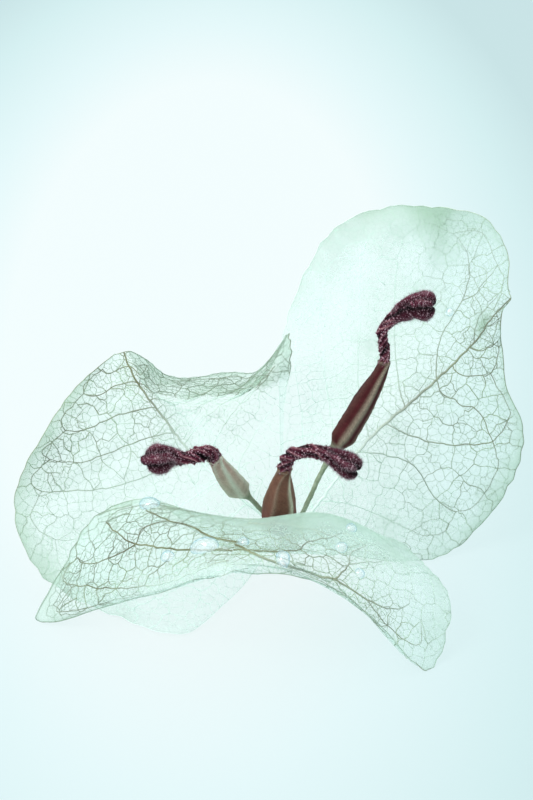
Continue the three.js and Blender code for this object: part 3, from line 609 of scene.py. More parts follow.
def make_piece(name, points, faces, material, node_name):
    """A piece of the bloom from points of the drawing: it rides the root and replaces a node."""
    placed = laid_down(points)
    placed[:, 2] = np.maximum(placed[:, 2], LOWEST)
    mesh = bpy.data.meshes.new(name)
    mesh.from_pydata(placed.tolist(), [], faces)
    mesh.validate()
    mesh.materials.append(material)
    mesh.polygons.foreach_set("use_smooth", [True] * len(mesh.polygons))
    piece = bpy.data.objects.new(name, mesh)
    bpy.context.scene.collection.objects.link(piece)
    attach(piece, "root")
    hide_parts(node_name)
    return piece


def wrapped(rings, sides, first=0):
    """Faces of a closed skin: rings of sides points each, then a point at each end."""
    k = np.arange(sides)
    n = (k + 1) % sides
    start = first + rings * sides
    last = start - sides
    faces = ring_faces(rings, sides, first)
    faces += np.column_stack([np.full(sides, start), first + n, first + k]).tolist()
    faces += np.column_stack([np.full(sides, start + 1), last + k, last + n]).tolist()
    return faces


def add_attribute(piece, name, values):
    """Gives each point of a piece a value that its material reads by name."""
    layer = piece.data.attributes.new(name, "FLOAT", "POINT")
    layer.data.foreach_set("value", np.asarray(values, np.float32))


# ---------------------------------------------------------------------------- materials
NUMBER, COLOUR, DIRECTION = "NodeSocketFloat", "NodeSocketColor", "NodeSocketVector"


def new_material(name):
    material = bpy.data.materials.new(name)
    material.use_nodes = True
    material.node_tree.nodes.clear()
    return material, material.node_tree


def node(tree, kind, **settings):
    """A new node: in_Some_Name sets its input Some Name, other settings are the node's own."""
    made = tree.nodes.new(kind)
    for key, value in settings.items():
        if key.startswith("in_"):
            made.inputs[key[3:].replace("_", " ")].default_value = value
        else:
            setattr(made, key, value)
    return made


def feed(tree, value, socket):
    """Feeds an input from a socket, or sets it to a number or a colour."""
    if isinstance(value, bpy.types.NodeSocket):
        tree.links.new(value, socket)
    else:
        socket.default_value = (*value, 1) if isinstance(value, tuple) else value


def ramp(tree, source, *stops):
    """A colour ramp. Each stop is its place, and a colour or a number for a grey."""
    made = tree.nodes.new("ShaderNodeValToRGB")
    elements = made.color_ramp.elements
    while len(elements) < len(stops):
        elements.new(0.5)
    for element, (place, colour) in zip(elements, stops):
        element.position = place
        element.color = (*(colour if isinstance(colour, tuple) else (colour,) * 3), 1)
    tree.links.new(source, made.inputs["Fac"])
    return made.outputs["Color"]


def mixed(tree, kind, amount, a, b):
    """A Mix node of colours; each input is a socket or a plain value."""
    made = node(tree, "ShaderNodeMix", data_type="RGBA", blend_type=kind)
    for name, value in (("Factor", amount), ("A", a), ("B", b)):
        feed(tree, value, [s for s in made.inputs if s.name == name and s.enabled][0])
    return [s for s in made.outputs if s.enabled][0]


def arithmetic(tree, operation, a, b):
    made = node(tree, "ShaderNodeMath", operation=operation)
    feed(tree, a, made.inputs[0])
    feed(tree, b, made.inputs[1])
    return made.outputs[0]


def plus(tree, a, b):
    return arithmetic(tree, "ADD", a, b)


def times(tree, a, b):
    return arithmetic(tree, "MULTIPLY", a, b)


def layered(tree, share, below, above):
    """One shader over another: only the lower one where the share is 0."""
    made = tree.nodes.new("ShaderNodeMixShader")
    feed(tree, share, made.inputs["Fac"])
    tree.links.new(below.outputs[0], made.inputs[1])
    tree.links.new(above.outputs[0], made.inputs[2])
    return made


def put_on(tree, shader):
    output = tree.nodes.new("ShaderNodeOutputMaterial")
    tree.links.new(shader.outputs[0], output.inputs["Surface"])


def new_group(name, inputs, outputs):
    """An empty node group: its tree, the sockets of its inputs and the sockets of its outputs."""
    tree = bpy.data.node_groups.new(name, "ShaderNodeTree")
    for title, kind, default in inputs:
        socket = tree.interface.new_socket(title, in_out="INPUT", socket_type=kind)
        socket.default_value = default
    for title, kind in outputs:
        tree.interface.new_socket(title, in_out="OUTPUT", socket_type=kind)
    given, gives = tree.nodes.new("NodeGroupInput"), tree.nodes.new("NodeGroupOutput")
    return tree, given.outputs, gives.inputs


def pattern_of(tree, kind, size, **settings):
    """A texture over the object whose features are about size mm across."""
    pattern = node(tree, kind, **settings)
    place = tree.nodes.new("ShaderNodeTexCoord")
    tree.links.new(place.outputs["Object"], pattern.inputs["Vector"])
    tree.links.new(arithmetic(tree, "DIVIDE", 1 / MM, size), pattern.inputs["Scale"])
    return pattern.outputs


def blotches_and_grain():
    """Soft blotches between two colours, and fine grain that speckles and roughens them.

    Blotches and Grain run from 0 to 1; Normal carries the bumps of the grain."""
    tree, given, gives = new_group("blotches and grain", [
        ("Low", COLOUR, (0.2, 0.2, 0.2, 1)), ("High", COLOUR, (0.5, 0.5, 0.5, 1)),
        ("Speckle", NUMBER, 0.0), ("Blotch Size mm", NUMBER, 3.0), ("Grain Size mm", NUMBER, 0.2),
        ("Bump Strength", NUMBER, 0.6), ("Bump Depth mm", NUMBER, 0.03),
    ], [("Blotches", NUMBER), ("Grain", NUMBER), ("Colour", COLOUR), ("Normal", DIRECTION)])
    noise_of = lambda size, detail: pattern_of(tree, "ShaderNodeTexNoise", size, in_Detail=detail)
    blotches = noise_of(given["Blotch Size mm"], 3)["Fac"]
    grain = noise_of(given["Grain Size mm"], 4)["Fac"]
    spread = node(tree, "ShaderNodeMapRange", in_From_Min=0.35, in_From_Max=0.65)
    tree.links.new(blotches, spread.inputs["Value"])
    blotched = mixed(tree, "MIX", spread.outputs["Result"], given["Low"], given["High"])
    speckled = mixed(tree, "OVERLAY", given["Speckle"], blotched, grain)
    bump = tree.nodes.new("ShaderNodeBump")
    depth = times(tree, given["Bump Depth mm"], MM)
    for source, socket in ((given["Bump Strength"], bump.inputs["Strength"]),
                           (depth, bump.inputs["Distance"]), (grain, bump.inputs["Height"]),
                           (blotches, gives["Blotches"]), (grain, gives["Grain"]),
                           (speckled, gives["Colour"]), (bump.outputs["Normal"], gives["Normal"])):
        tree.links.new(source, socket)
    return tree


def finest_veinlets():
    """The finest veinlets, too small to model: 1 on a veinlet, 0 in the paper between."""
    tree, given, gives = new_group("finest veinlets", [
        ("Cell Size mm", NUMBER, 0.5), ("Width", NUMBER, 0.06)], [("Veinlets", NUMBER)])
    cells = pattern_of(tree, "ShaderNodeTexVoronoi", given["Cell Size mm"],
                       feature="DISTANCE_TO_EDGE")
    share = arithmetic(tree, "DIVIDE", cells["Distance"], given["Width"])
    line = arithmetic(tree, "SUBTRACT", 1.0, arithmetic(tree, "MINIMUM", share, 1.0))
    tree.links.new(line, gives["Veinlets"])
    return tree


DRIED, VEINLETS = blotches_and_grain(), finest_veinlets()


def placed_group(tree, group, **values):
    """The outputs of a group in a material; Some_Name sets its input Some Name."""
    made = node(tree, "ShaderNodeGroup", node_tree=group)
    for name, value in values.items():
        feed(tree, value, made.inputs[name.replace("_", " ")])
    return made.outputs


def read(tree, name):
    """The value that a piece carries at each of its points under that name."""
    return node(tree, "ShaderNodeAttribute", attribute_name=name).outputs["Fac"]


def put_on_skin(tree, colour, normal, roughness, specular):
    """A matte opaque skin."""
    skin = node(tree, "ShaderNodeBsdfPrincipled", in_Roughness=roughness,
                in_Specular_IOR_Level=specular)
    tree.links.new(colour, skin.inputs["Base Color"])
    tree.links.new(normal, skin.inputs["Normal"])
    put_on(tree, skin)


def paper_material():
    """Dried bract paper: pale mint, thin enough to see and light through."""
    material, tree = new_material("bract paper")
    look = placed_group(tree, DRIED, Blotch_Size_mm=4.0, Grain_Size_mm=0.25)
    veinlets = placed_group(tree, VEINLETS, Cell_Size_mm=0.55, Width=0.07)["Veinlets"]
    uneven = times(tree, plus(tree, look["Blotches"], -0.5), 0.7)
    dense = plus(tree, read(tree, "dense"), plus(tree, uneven, 0.2))
    base = ramp(tree, dense, (0.0, (0.92, 0.98, 0.97)), (0.25, (0.85, 0.95, 0.925)),
                (0.9, (0.47, 0.64, 0.49)))
    on_veinlet = times(tree, veinlets, 0.3)
    colour = mixed(tree, "MIX", on_veinlet, base, (0.5, 0.66, 0.55))
    height = plus(tree, look["Grain"], times(tree, veinlets, 0.8))
    bump = node(tree, "ShaderNodeBump", in_Strength=0.35, in_Distance=0.06 * MM)
    tree.links.new(height, bump.inputs["Height"])
    paper = node(tree, "ShaderNodeBsdfPrincipled", in_Roughness=0.6, in_Specular_IOR_Level=0.3)
    lit_through = node(tree, "ShaderNodeBsdfTranslucent")
    for shader, tinted in ((paper, "Base Color"), (lit_through, "Color")):
        tree.links.new(colour, shader.inputs[tinted])
        tree.links.new(bump.outputs["Normal"], shader.inputs["Normal"])
    seen_through = node(tree, "ShaderNodeBsdfTransparent", in_Color=(0.97, 1.0, 0.99, 1))
    clearness = ramp(tree, dense, (0.0, 0.96), (0.08, 0.9), (0.25, 0.78), (1.0, 0.42))
    sheet = layered(tree, 0.55, paper, lit_through)
    put_on(tree, layered(tree, clearness, sheet, seen_through))
    return material


def vein_finish(name, low, high, roughness):
    """A dried vein between two colours: bleached where its pale mark is over 0, darker under 0."""
    material, tree = new_material(name)
    look = placed_group(tree, DRIED, Low=low, High=high, Speckle=0.4, Blotch_Size_mm=3.0,
                        Grain_Size_mm=0.15, Bump_Strength=0.6, Bump_Depth_mm=0.03)
    pale = read(tree, "pale")
    shade = plus(tree, arithmetic(tree, "MINIMUM", pale, 0.0), 1.0)
    shaded = mixed(tree, "MULTIPLY", 1.0, look["Colour"], shade)
    bleached = mixed(tree, "MIX", pale, shaded, (0.8, 0.95, 0.89))
    put_on_skin(tree, bleached, look["Normal"], roughness, 0.3)
    return material


def dry_finish(name, low, high, roughness, depth):
    """A matte dried finish that varies between two colours."""
    material, tree = new_material(name)
    look = placed_group(tree, DRIED, Low=low, High=high, Speckle=0.5, Blotch_Size_mm=2.0,
                        Grain_Size_mm=0.15, Bump_Strength=0.6, Bump_Depth_mm=depth)
    put_on_skin(tree, look["Colour"], look["Normal"], roughness, 0.3)
    return material


def tube_material(name, face, low_face, rib):
    """Pedicel and tube of one flower: olive stalk, flat faces that redden downwards, pale ribs."""
    material, tree = new_material(name)
    look = placed_group(tree, DRIED, Low=(0.2, 0.25, 0.16), High=(0.33, 0.4, 0.29),
                        Blotch_Size_mm=1.2, Grain_Size_mm=0.12, Bump_Strength=0.7,
                        Bump_Depth_mm=0.04)
    upwards = ramp(tree, read(tree, "height"), (0.25, 0), (0.75, 1))
    sides = mixed(tree, "MIX", upwards, low_face, face)
    sides = mixed(tree, "OVERLAY", 0.4, sides, look["Blotches"])
    # The pale ribs are speckled by the grain.
    grain_speckle = plus(tree, times(tree, look["Grain"], 0.7), 0.6)
    on_rib = times(tree, read(tree, "rib"), grain_speckle)
    tube = mixed(tree, "MIX", arithmetic(tree, "MINIMUM", on_rib, 1.0), sides, rib)
    body = mixed(tree, "MIX", read(tree, "tube"), look["Colour"], tube)
    body = mixed(tree, "OVERLAY", 0.8, body, look["Grain"])
    put_on_skin(tree, body, look["Normal"], 0.66, 0.08)
    return material


def petal_material():
    """Shrivelled petals: burgundy skin with painted shade, near-black in the clefts, and pinkish
    grain tops and pale frill edges, both partly painted highlight.
    """
    material, tree = new_material("petals")
    look = placed_group(tree, DRIED, Blotch_Size_mm=0.9, Grain_Size_mm=0.1, Bump_Strength=0.7,
                        Bump_Depth_mm=0.04)
    outer = read(tree, "outer")
    # Painted shade: the skin goes near-black on the faces turned in towards the flower's middle,
    # where the strands crowd into clefts.
    skin_with_painted_shade = ramp(tree, outer, (0.42, (0.002, 0.0002, 0.0008)), (0.62, (0.015, 0.0016, 0.005)),
               (0.85, (0.042, 0.006, 0.014)), (1.0, (0.085, 0.014, 0.03)))
    body = mixed(tree, "OVERLAY", 0.8, skin_with_painted_shade, look["Blotches"])
    # Pale pinkish tops of the grains, strongest on the faces turned outwards: partly pale grains,
    # partly painted highlight.
    tops = ramp(tree, read(tree, "grains"), (0.6, 0), (0.9, 1))
    tops = times(tree, tops, arithmetic(tree, "POWER", outer, 2.0))
    # The frill edges are paler: partly their own dried colour, partly a painted highlight along the
    # ridges.
    for share, mark, colour in ((0.9, tops, (0.58, 0.38, 0.44)),
                                (0.7, read(tree, "edge"), (0.42, 0.24, 0.24))):
        body = mixed(tree, "MIX", times(tree, mark, share), body, colour)
    body = mixed(tree, "OVERLAY", 0.35, body, look["Grain"])
    put_on_skin(tree, body, look["Normal"], 0.6, 0.08)
    return material


def water_material():
    """Clear water: mostly seen straight through, with a white shine, and edges painted a darker
    blue-grey: a painted reflection and shade where the surface turns away.
    """
    material, tree = new_material("clear water")
    look = placed_group(tree, DRIED, Blotch_Size_mm=0.9)
    slant = node(tree, "ShaderNodeLayerWeight", in_Blend=0.3)
    uneven = times(tree, plus(tree, look["Blotches"], -0.5), 0.6)
    edge = plus(tree, slant.outputs["Facing"], uneven)
    # Painted reflection and shade: the colour goes from white through pale blue to a dark blue-grey
    # outline as the surface turns away from view.
    painted_edge_shade = ramp(tree, edge, (0.05, (1.0, 1.0, 1.0)), (0.35, (0.84, 0.94, 0.99)),
                (0.7, (0.5, 0.7, 0.78)), (0.95, (0.25, 0.36, 0.4)))
    water = node(tree, "ShaderNodeBsdfPrincipled", in_Roughness=0.03, in_IOR=1.33,
                 in_Transmission_Weight=1.0)
    clear, veil = node(tree, "ShaderNodeBsdfTransparent"), node(tree, "ShaderNodeBsdfDiffuse")
    shine = node(tree, "ShaderNodeBsdfGlossy", in_Roughness=0.05)
    tree.links.new(painted_edge_shade, water.inputs["Base Color"])
    tree.links.new(painted_edge_shade, clear.inputs["Color"])
    tree.links.new(mixed(tree, "MIX", 0.2, painted_edge_shade, (1.0, 1.0, 1.0)), veil.inputs["Color"])
    body = clear
    for share, layer in ((0.16, water), (0.14, veil), (0.07, shine)):
        body = layered(tree, share, body, layer)
    path = tree.nodes.new("ShaderNodeLightPath").outputs
    lets_by = arithmetic(tree, "MAXIMUM", path["Is Shadow Ray"], path["Is Diffuse Ray"])
    put_on(tree, layered(tree, lets_by, body, node(tree, "ShaderNodeBsdfTransparent")))
    return material


PAPER, PETALS, WATER = paper_material(), petal_material(), water_material()
HAIR = dry_finish("hairs", (0.12, 0.06, 0.08), (0.46, 0.36, 0.4), 0.6, 0.03)
STALK = dry_finish("dry stalk", (0.2, 0.2, 0.1), (0.4, 0.42, 0.26), 0.75, 0.05)
VEIN_FINISHES = [
    vein_finish("main veins", (0.1, 0.1, 0.045), (0.21, 0.235, 0.13), 0.7),
    vein_finish("cross veins", (0.165, 0.185, 0.105), (0.335, 0.42, 0.275), 0.75),
    vein_finish("fine veins", (0.3, 0.375, 0.26), (0.47, 0.62, 0.485), 0.8),
]


# ---------------------------------------------------------------------------- bracts
PAPER_THICKNESS = 0.12
ROWS_EACH, COLUMNS_EACH = 18, 22  # steps of the paper's mesh to a row and to a column
PUFF, PUFF_WIDTH = 0.1, 0.45  # how high the paper puffs, this far from its nearest vein
MAIN, CROSS, FINE = range(3)
SIDES = {MAIN: 10, CROSS: 6, FINE: 4}
SLIMMER = {MAIN: 0.8, CROSS: 0.92, FINE: 0.92}  # drawn radii times this
CROSS_CELLS, FINE_CELLS = (3.0, 1.3), (1.15, 0.5)  # pitch, and reach from the lines they follow
CROSS_RADIUS, FINE_RADIUS, SPUR_RADIUS = 0.055, 0.034, 0.026
UNEVEN = 0.75, 1.25  # the least and the most of its grade's radius that a vein has
SPUR_SHARE = 0.3  # of the fine walls
CLOSE_BY = 0.22  # a fine wall all of it nearer than this to a larger vein is left out
FRONT_MIDRIB_PALE = 0.5
MARGIN_STEPS, TIP_STEPS = 260, 12


def smoothstep(x, lo, hi):
    t = np.clip((x - lo) / (hi - lo), 0, 1)
    return t * t * (3 - 2 * t)


def soft_spots(places, spots):
    total = np.zeros(len(places))
    for row, column, tall, wide, amount in spots:
        away = ((places[:, 0] - row) / tall) ** 2 + ((places[:, 1] - column) / wide) ** 2
        total += amount * np.exp(-away)
    return np.clip(total, -1, 1)


def rim_share(places):
    """How far each place is on the left bract's curled rim, and how far just below it."""
    rows, columns = np.array(RIM_LINE).T
    beyond = places[:, 0] - np.interp(places[:, 1], columns, rows)
    right_half = smoothstep(places[:, 1], 2.5, 2.8)
    rim, below = smoothstep(beyond, -0.25, 0.15), 1 - smoothstep(beyond, -0.2, 0.1)
    return rim * right_half, below * right_half


def paper_mesh(blade, puffed):
    """Both faces and the edge of the thin sheet, puffed a little inside each cell of the net."""
    r, c = blade.rows * ROWS_EACH + 1, blade.columns * COLUMNS_EACH + 1
    rows, columns = np.linspace(0, blade.rows, r), np.linspace(0, blade.columns, c)
    places = np.stack(np.meshgrid(rows, columns, indexing="ij"), -1).reshape(-1, 2)
    facing = blade.facing(places, blade.surface)
    middle = blade.surface(places) + facing * puffed(places)[:, None]
    half = facing * PAPER_THICKNESS / 2
    points = np.concatenate([middle + half, middle - half])
    a = (np.arange(r - 1)[:, None] * c + np.arange(c - 1)).ravel()
    front = np.column_stack([a, a + 1, a + c + 1, a + c])
    n = r * c
    rim = np.concatenate([np.arange(c - 1), np.arange(r - 1) * c + c - 1,
                          n - 1 - np.arange(c - 1), (r - 1 - np.arange(r - 1)) * c])
    after = np.roll(rim, -1)
    edge = np.column_stack([rim, rim + n, after + n, after])
    return places, points, np.concatenate([front, front[:, ::-1] + n, edge]).tolist()


def points_tree(lines):
    points = np.concatenate(lines)
    tree = KDTree(len(points))
    for k, (x, y) in enumerate(points):
        tree.insert((x, y, 0), k)
    tree.balance()
    return tree


def sprouting(blade, walls, rng):
    """Spurs that stand off some of the walls and end free inside a cell."""
    spurs = []
    for a, b in walls:
        if rng.random() < SPUR_SHARE and math.dist(a, b) > 0.5:
            start = a + (b - a) * rng.uniform(0.35, 0.65)
            side = unit(aside(b - a)) * rng.choice([-1, 1])
            spurs.append(crooked((start, start + side * rng.uniform(0.25, 0.5)), rng))
    return [spur for spur in spurs if blade.miss(spur[-1]) < ON_BLADE]


def make_bract(name, drawing, pleats, veins, seed):
    """A bract's paper and its three grades of veins; gives its blade, for drops to lie on."""
    rng = np.random.default_rng(seed)
    blade = Blade(drawing, pleats)
    main = [(*MIDRIB_RADII[name], [(0, 2), (blade.rows / 2, 2), (blade.rows, 2)])] + veins
    main_flat = [kinked(blade.to_flat(through(points, 0.06)), rng) for *_, points in main]
    cross = [crooked(wall, rng) for wall in grow_net(blade, main_flat, *CROSS_CELLS, rng)]
    larger = main_flat + cross
    guide = points_tree(larger)
    apart = lambda p: guide.find((p[0], p[1], 0))[2]
    fine = [(a, b) for a, b in grow_net(blade, larger, *FINE_CELLS, rng)
            if max(apart(a), apart(b), apart((a + b) / 2)) > CLOSE_BY]
    spurs = sprouting(blade, fine, rng)
    fine = [crooked(wall, rng) for wall in fine]

    lines, radii, kinds = [], [], []

    def add_vein(line, radius, kind):
        lines.append(line)
        radii.append(radius)
        kinds.append(kind)

    for (first, last, _), line in zip(main, main_flat):
        shares = np.linspace(0, 1, len(line)) ** 0.8
        add_vein(blade.to_places(line), first + (last - first) * shares, MAIN)
    for group, radius, kind in ((cross, CROSS_RADIUS, CROSS), (fine, FINE_RADIUS, FINE),
                                (spurs, SPUR_RADIUS, FINE)):
        for line in group:
            even = np.full(len(line), radius * rng.uniform(*UNEVEN))
            add_vein(blade.to_places(line), even, kind)
    up, tip = np.linspace(0, blade.rows, MARGIN_STEPS), np.linspace(0, blade.columns, TIP_STEPS)
    down = np.linspace(blade.rows, 0, MARGIN_STEPS)
    margin = np.array([(r, 0.0) for r in up] + [(blade.rows, c) for c in tip[1:-1]]
                      + [(r, float(blade.columns)) for r in down])
    thinned = np.minimum(soft_spots(margin, DENSE[name]), 0)
    add_vein(margin, CROSS_RADIUS * (1 + 0.8 * thinned), CROSS)

    pale = [soft_spots(line, PALE[name]) for line in lines]
    if name == "bract_front":
        pale[0] = np.full(len(lines[0]), FRONT_MIDRIB_PALE)
    if name == "bract_left":
        for k, line in enumerate(lines):
            rim, below = rim_share(line)
            pale[k] = np.maximum(pale[k], 0.7 * below) * (1 - rim) - 0.35 * rim
        radii[-1] = radii[-1] * (1 - 0.7 * rim_share(margin)[1])
    pale = [np.maximum(share, 0) if kind == MAIN else share for share, kind in zip(pale, kinds)]

    nearest = points_tree(larger + fine)

    def puffed(places):
        away = np.array([nearest.find((x, y, 0))[2] for x, y in blade.to_flat(places)])
        return PUFF * np.clip(away / PUFF_WIDTH, 0, 1) ** 1.5

    places, points, faces = paper_mesh(blade, puffed)
    paper = make_piece(name + "_paper", points, faces, PAPER, name)
    margin_share = np.abs(blade.outwards(places[:, 1])) ** 8 * 0.3
    dense = soft_spots(places, DENSE[name]) + margin_share
    if name == "bract_left":
        rim, below = rim_share(places)
        fading = 0.2 + margin_share + 0.35 * smoothstep(places[:, 1], 3.8, 5)
        dense = (dense - fading * below) * (1 - rim) + 0.45 * rim
    add_attribute(paper, "dense", np.tile(dense, 2))

    cuts = np.cumsum([len(line) for line in lines])[:-1]
    solid = np.split(blade.surface(np.concatenate(lines)), cuts)
    for kind, title in ((MAIN, "main_veins"), (CROSS, "cross_veins"), (FINE, "fine_veins")):
        chosen = [k for k in range(len(lines)) if kinds[k] == kind]
        slim = [radii[k] * SLIMMER[kind] * (1 - 0.35 * np.maximum(pale[k], 0)) for k in chosen]
        points, faces = tubes([solid[k] for k in chosen], slim, SIDES[kind])
        piece = make_piece(f"{name}_{title}", points, faces, VEIN_FINISHES[kind], name)
        marks = np.concatenate([pale[k] for k in chosen])
        add_attribute(piece, "pale", np.repeat(marks, SIDES[kind]))
    return blade


RIGHT = make_bract("bract_right", RIGHT_BRACT, RIGHT_PLEATS, RIGHT_VEINS, 11)
make_bract("bract_left", LEFT_BRACT, [], LEFT_VEINS, 12)
FRONT = make_bract("bract_front", FRONT_BRACT, [], FRONT_VEINS, 13)


# ---------------------------------------------------------------------------- flowers
TUBE_SIDES, PETAL_RINGS, PETAL_SIDES = 90, 230, 40
PAST_NECK, MOUTH_BEND = 0.22, 0.2  # in stations: the mouth is past the neck's start, and rounded
STRAND_TWIST = 0.7  # turns of the petals' strands for each turn in the stations
TUBE_BUMPS = (0.55, 0, 0.05), (0.2, 5, 0.018)  # size, what the seed goes up by, and height
BREADTH = 1.12  # a strand's width for each 1 of its depth
FRILL_PITCH, FRILL_WIDTH, EDGE_WIDTH = 0.75, 0.24, 0.14  # mm along, and radians round a strand
GRAIN_SIZE, GRAIN_HEIGHT, WRINKLE_SIZE, WRINKLE_HEIGHT = 0.27, 0.06, 0.5, 0.09
HAIRS = 3000
HAIR_RADII = np.array([0.012, 0.009, 0.002])


def rib_profile(angle):
    """Cross-section of the tube: flat faces that meet in five ribs."""
    crest = 0.5 + 0.5 * np.cos(RIBS * angle)
    return 0.86 + 0.08 * crest + 0.06 * crest ** 6


def roughness_at(points, size, seed):
    """Smooth noise from -1 to 1 at each point, with bumps of about that size in mm."""
    shift = Vector((seed * 7.3, seed * 3.1, -seed * 5.7))
    return np.array([noise.noise(Vector(p) / size + shift) for p in points])


def grains_at(points, size, seed):
    """Rounded grains of about that size: 1 at the middle of each, 0 between them."""
    shift = Vector((seed * 2.7, -seed * 4.1, seed * 1.9))
    near = np.array([noise.voronoi(Vector(p) / size + shift)[0][0] for p in points])
    return 1 - np.clip(near / 0.6, 0, 1) ** 2


def padded(values):
    """Values for the points of a skin, and 0 for the point at each of its ends."""
    return np.concatenate([values.ravel(), [0, 0]])


class Axis:
    """The line up a flower: its place, radius and twist, and two directions square to it."""

    def __init__(self, stations):
        self.path = np.array([at for at, *_ in stations], float)
        self.form = np.array([(radius, twist) for _, radius, twist in stations], float)
        self.last = len(stations) - 1
        self.shares = np.linspace(0, 1, 400)
        self.way = unit(np.gradient(spline(self.path, self.shares), axis=0))
        side, kept = np.array([1.0, 0, 0]), []
        for ahead in self.way:
            side = unit(side - ahead * side.dot(ahead))
            kept.append(side)
        self.side = np.array(kept)

    def at(self, station):
        """Middle, radius, turns of twist, and the two square directions at each station."""
        share = station / self.last
        radius, twist = spline(self.form, np.minimum(station, self.last - 1) / self.last).T
        way, side = (unit(np.column_stack([np.interp(share, self.shares, kept[:, k])
                                           for k in range(3)])) for kept in (self.way, self.side))
        return spline(self.path, share), radius, twist, side, np.cross(way, side)


def make_tube(name, axis, zones, ribs, finish, seed):
    """A pedicel that swells into a ribbed tube, rounded in at its mouth."""
    tube_at, neck_at, _ = zones
    rib_turn, sharpness, rib_strengths, mouth_strength = ribs
    mouth = neck_at + PAST_NECK
    station = np.concatenate([np.linspace(0, mouth - MOUTH_BEND, 190),
                              mouth - MOUTH_BEND * (1 - np.linspace(0.06, 1, 14)) ** 2])
    middle, radius, twist, side, other = axis.at(station)
    tube = smoothstep(station, tube_at - 0.5, tube_at + 0.5)[:, None]
    rim = np.exp(-((station - mouth + PAST_NECK) / 0.07) ** 2)[:, None]
    bend = ((station - mouth + MOUTH_BEND) / MOUTH_BEND).clip(0)
    closing = np.sqrt(np.clip(1 - bend ** 2, 0.0004, 1))
    angle = around(TUBE_SIDES)
    turned = angle + 2 * np.pi * (twist[:, None] + rib_turn)
    pedicel = 1 - 0.04 * np.abs(np.sin(RIBS / 2 * angle))
    shape = pedicel * (1 - tube) + rib_profile(angle) * tube
    reach = radius[:, None] * shape * closing[:, None] * (1 + 0.14 * rim)
    ray = rays(turned, side[:, None], other[:, None])
    points = (middle[:, None] + reach[..., None] * ray).reshape(-1, 3)
    out = ray.reshape(-1, 3)
    for size, shift, height in TUBE_BUMPS:
        points += out * (roughness_at(points, size, seed + shift) * height)[:, None]
    points = np.concatenate([points, middle[:1], middle[-1:]])
    faces = wrapped(len(station), TUBE_SIDES)
    piece = make_piece(name + "_tube", points, faces, finish, name)
    nearest_rib = np.round(angle * RIBS / 2 / np.pi).astype(int) % RIBS
    crest = (0.5 + 0.5 * np.cos(RIBS * angle)) ** sharpness * np.array(rib_strengths)[nearest_rib]
    height = np.clip((station - tube_at) / (neck_at - tube_at), 0, 1)
    add_attribute(piece, "tube", padded(np.repeat(tube, TUBE_SIDES)))
    add_attribute(piece, "rib", padded(np.maximum(crest * tube, rim * mouth_strength)))
    add_attribute(piece, "height", padded(np.repeat(height, TUBE_SIDES)))


def clock_phase(axis, station, clock):
    """The strands' start angle that brings one to this clock angle at the station."""
    _, _, turns, side, other = axis.at(np.array([station]))
    square, aim = np.concatenate([side, other]), math.radians(clock)
    aimed = math.cos(aim) * square[:, 1] + math.sin(aim) * square[:, 2]
    return math.atan2(aimed[1], aimed[0]) - 2 * np.pi * STRAND_TWIST * turns[0]


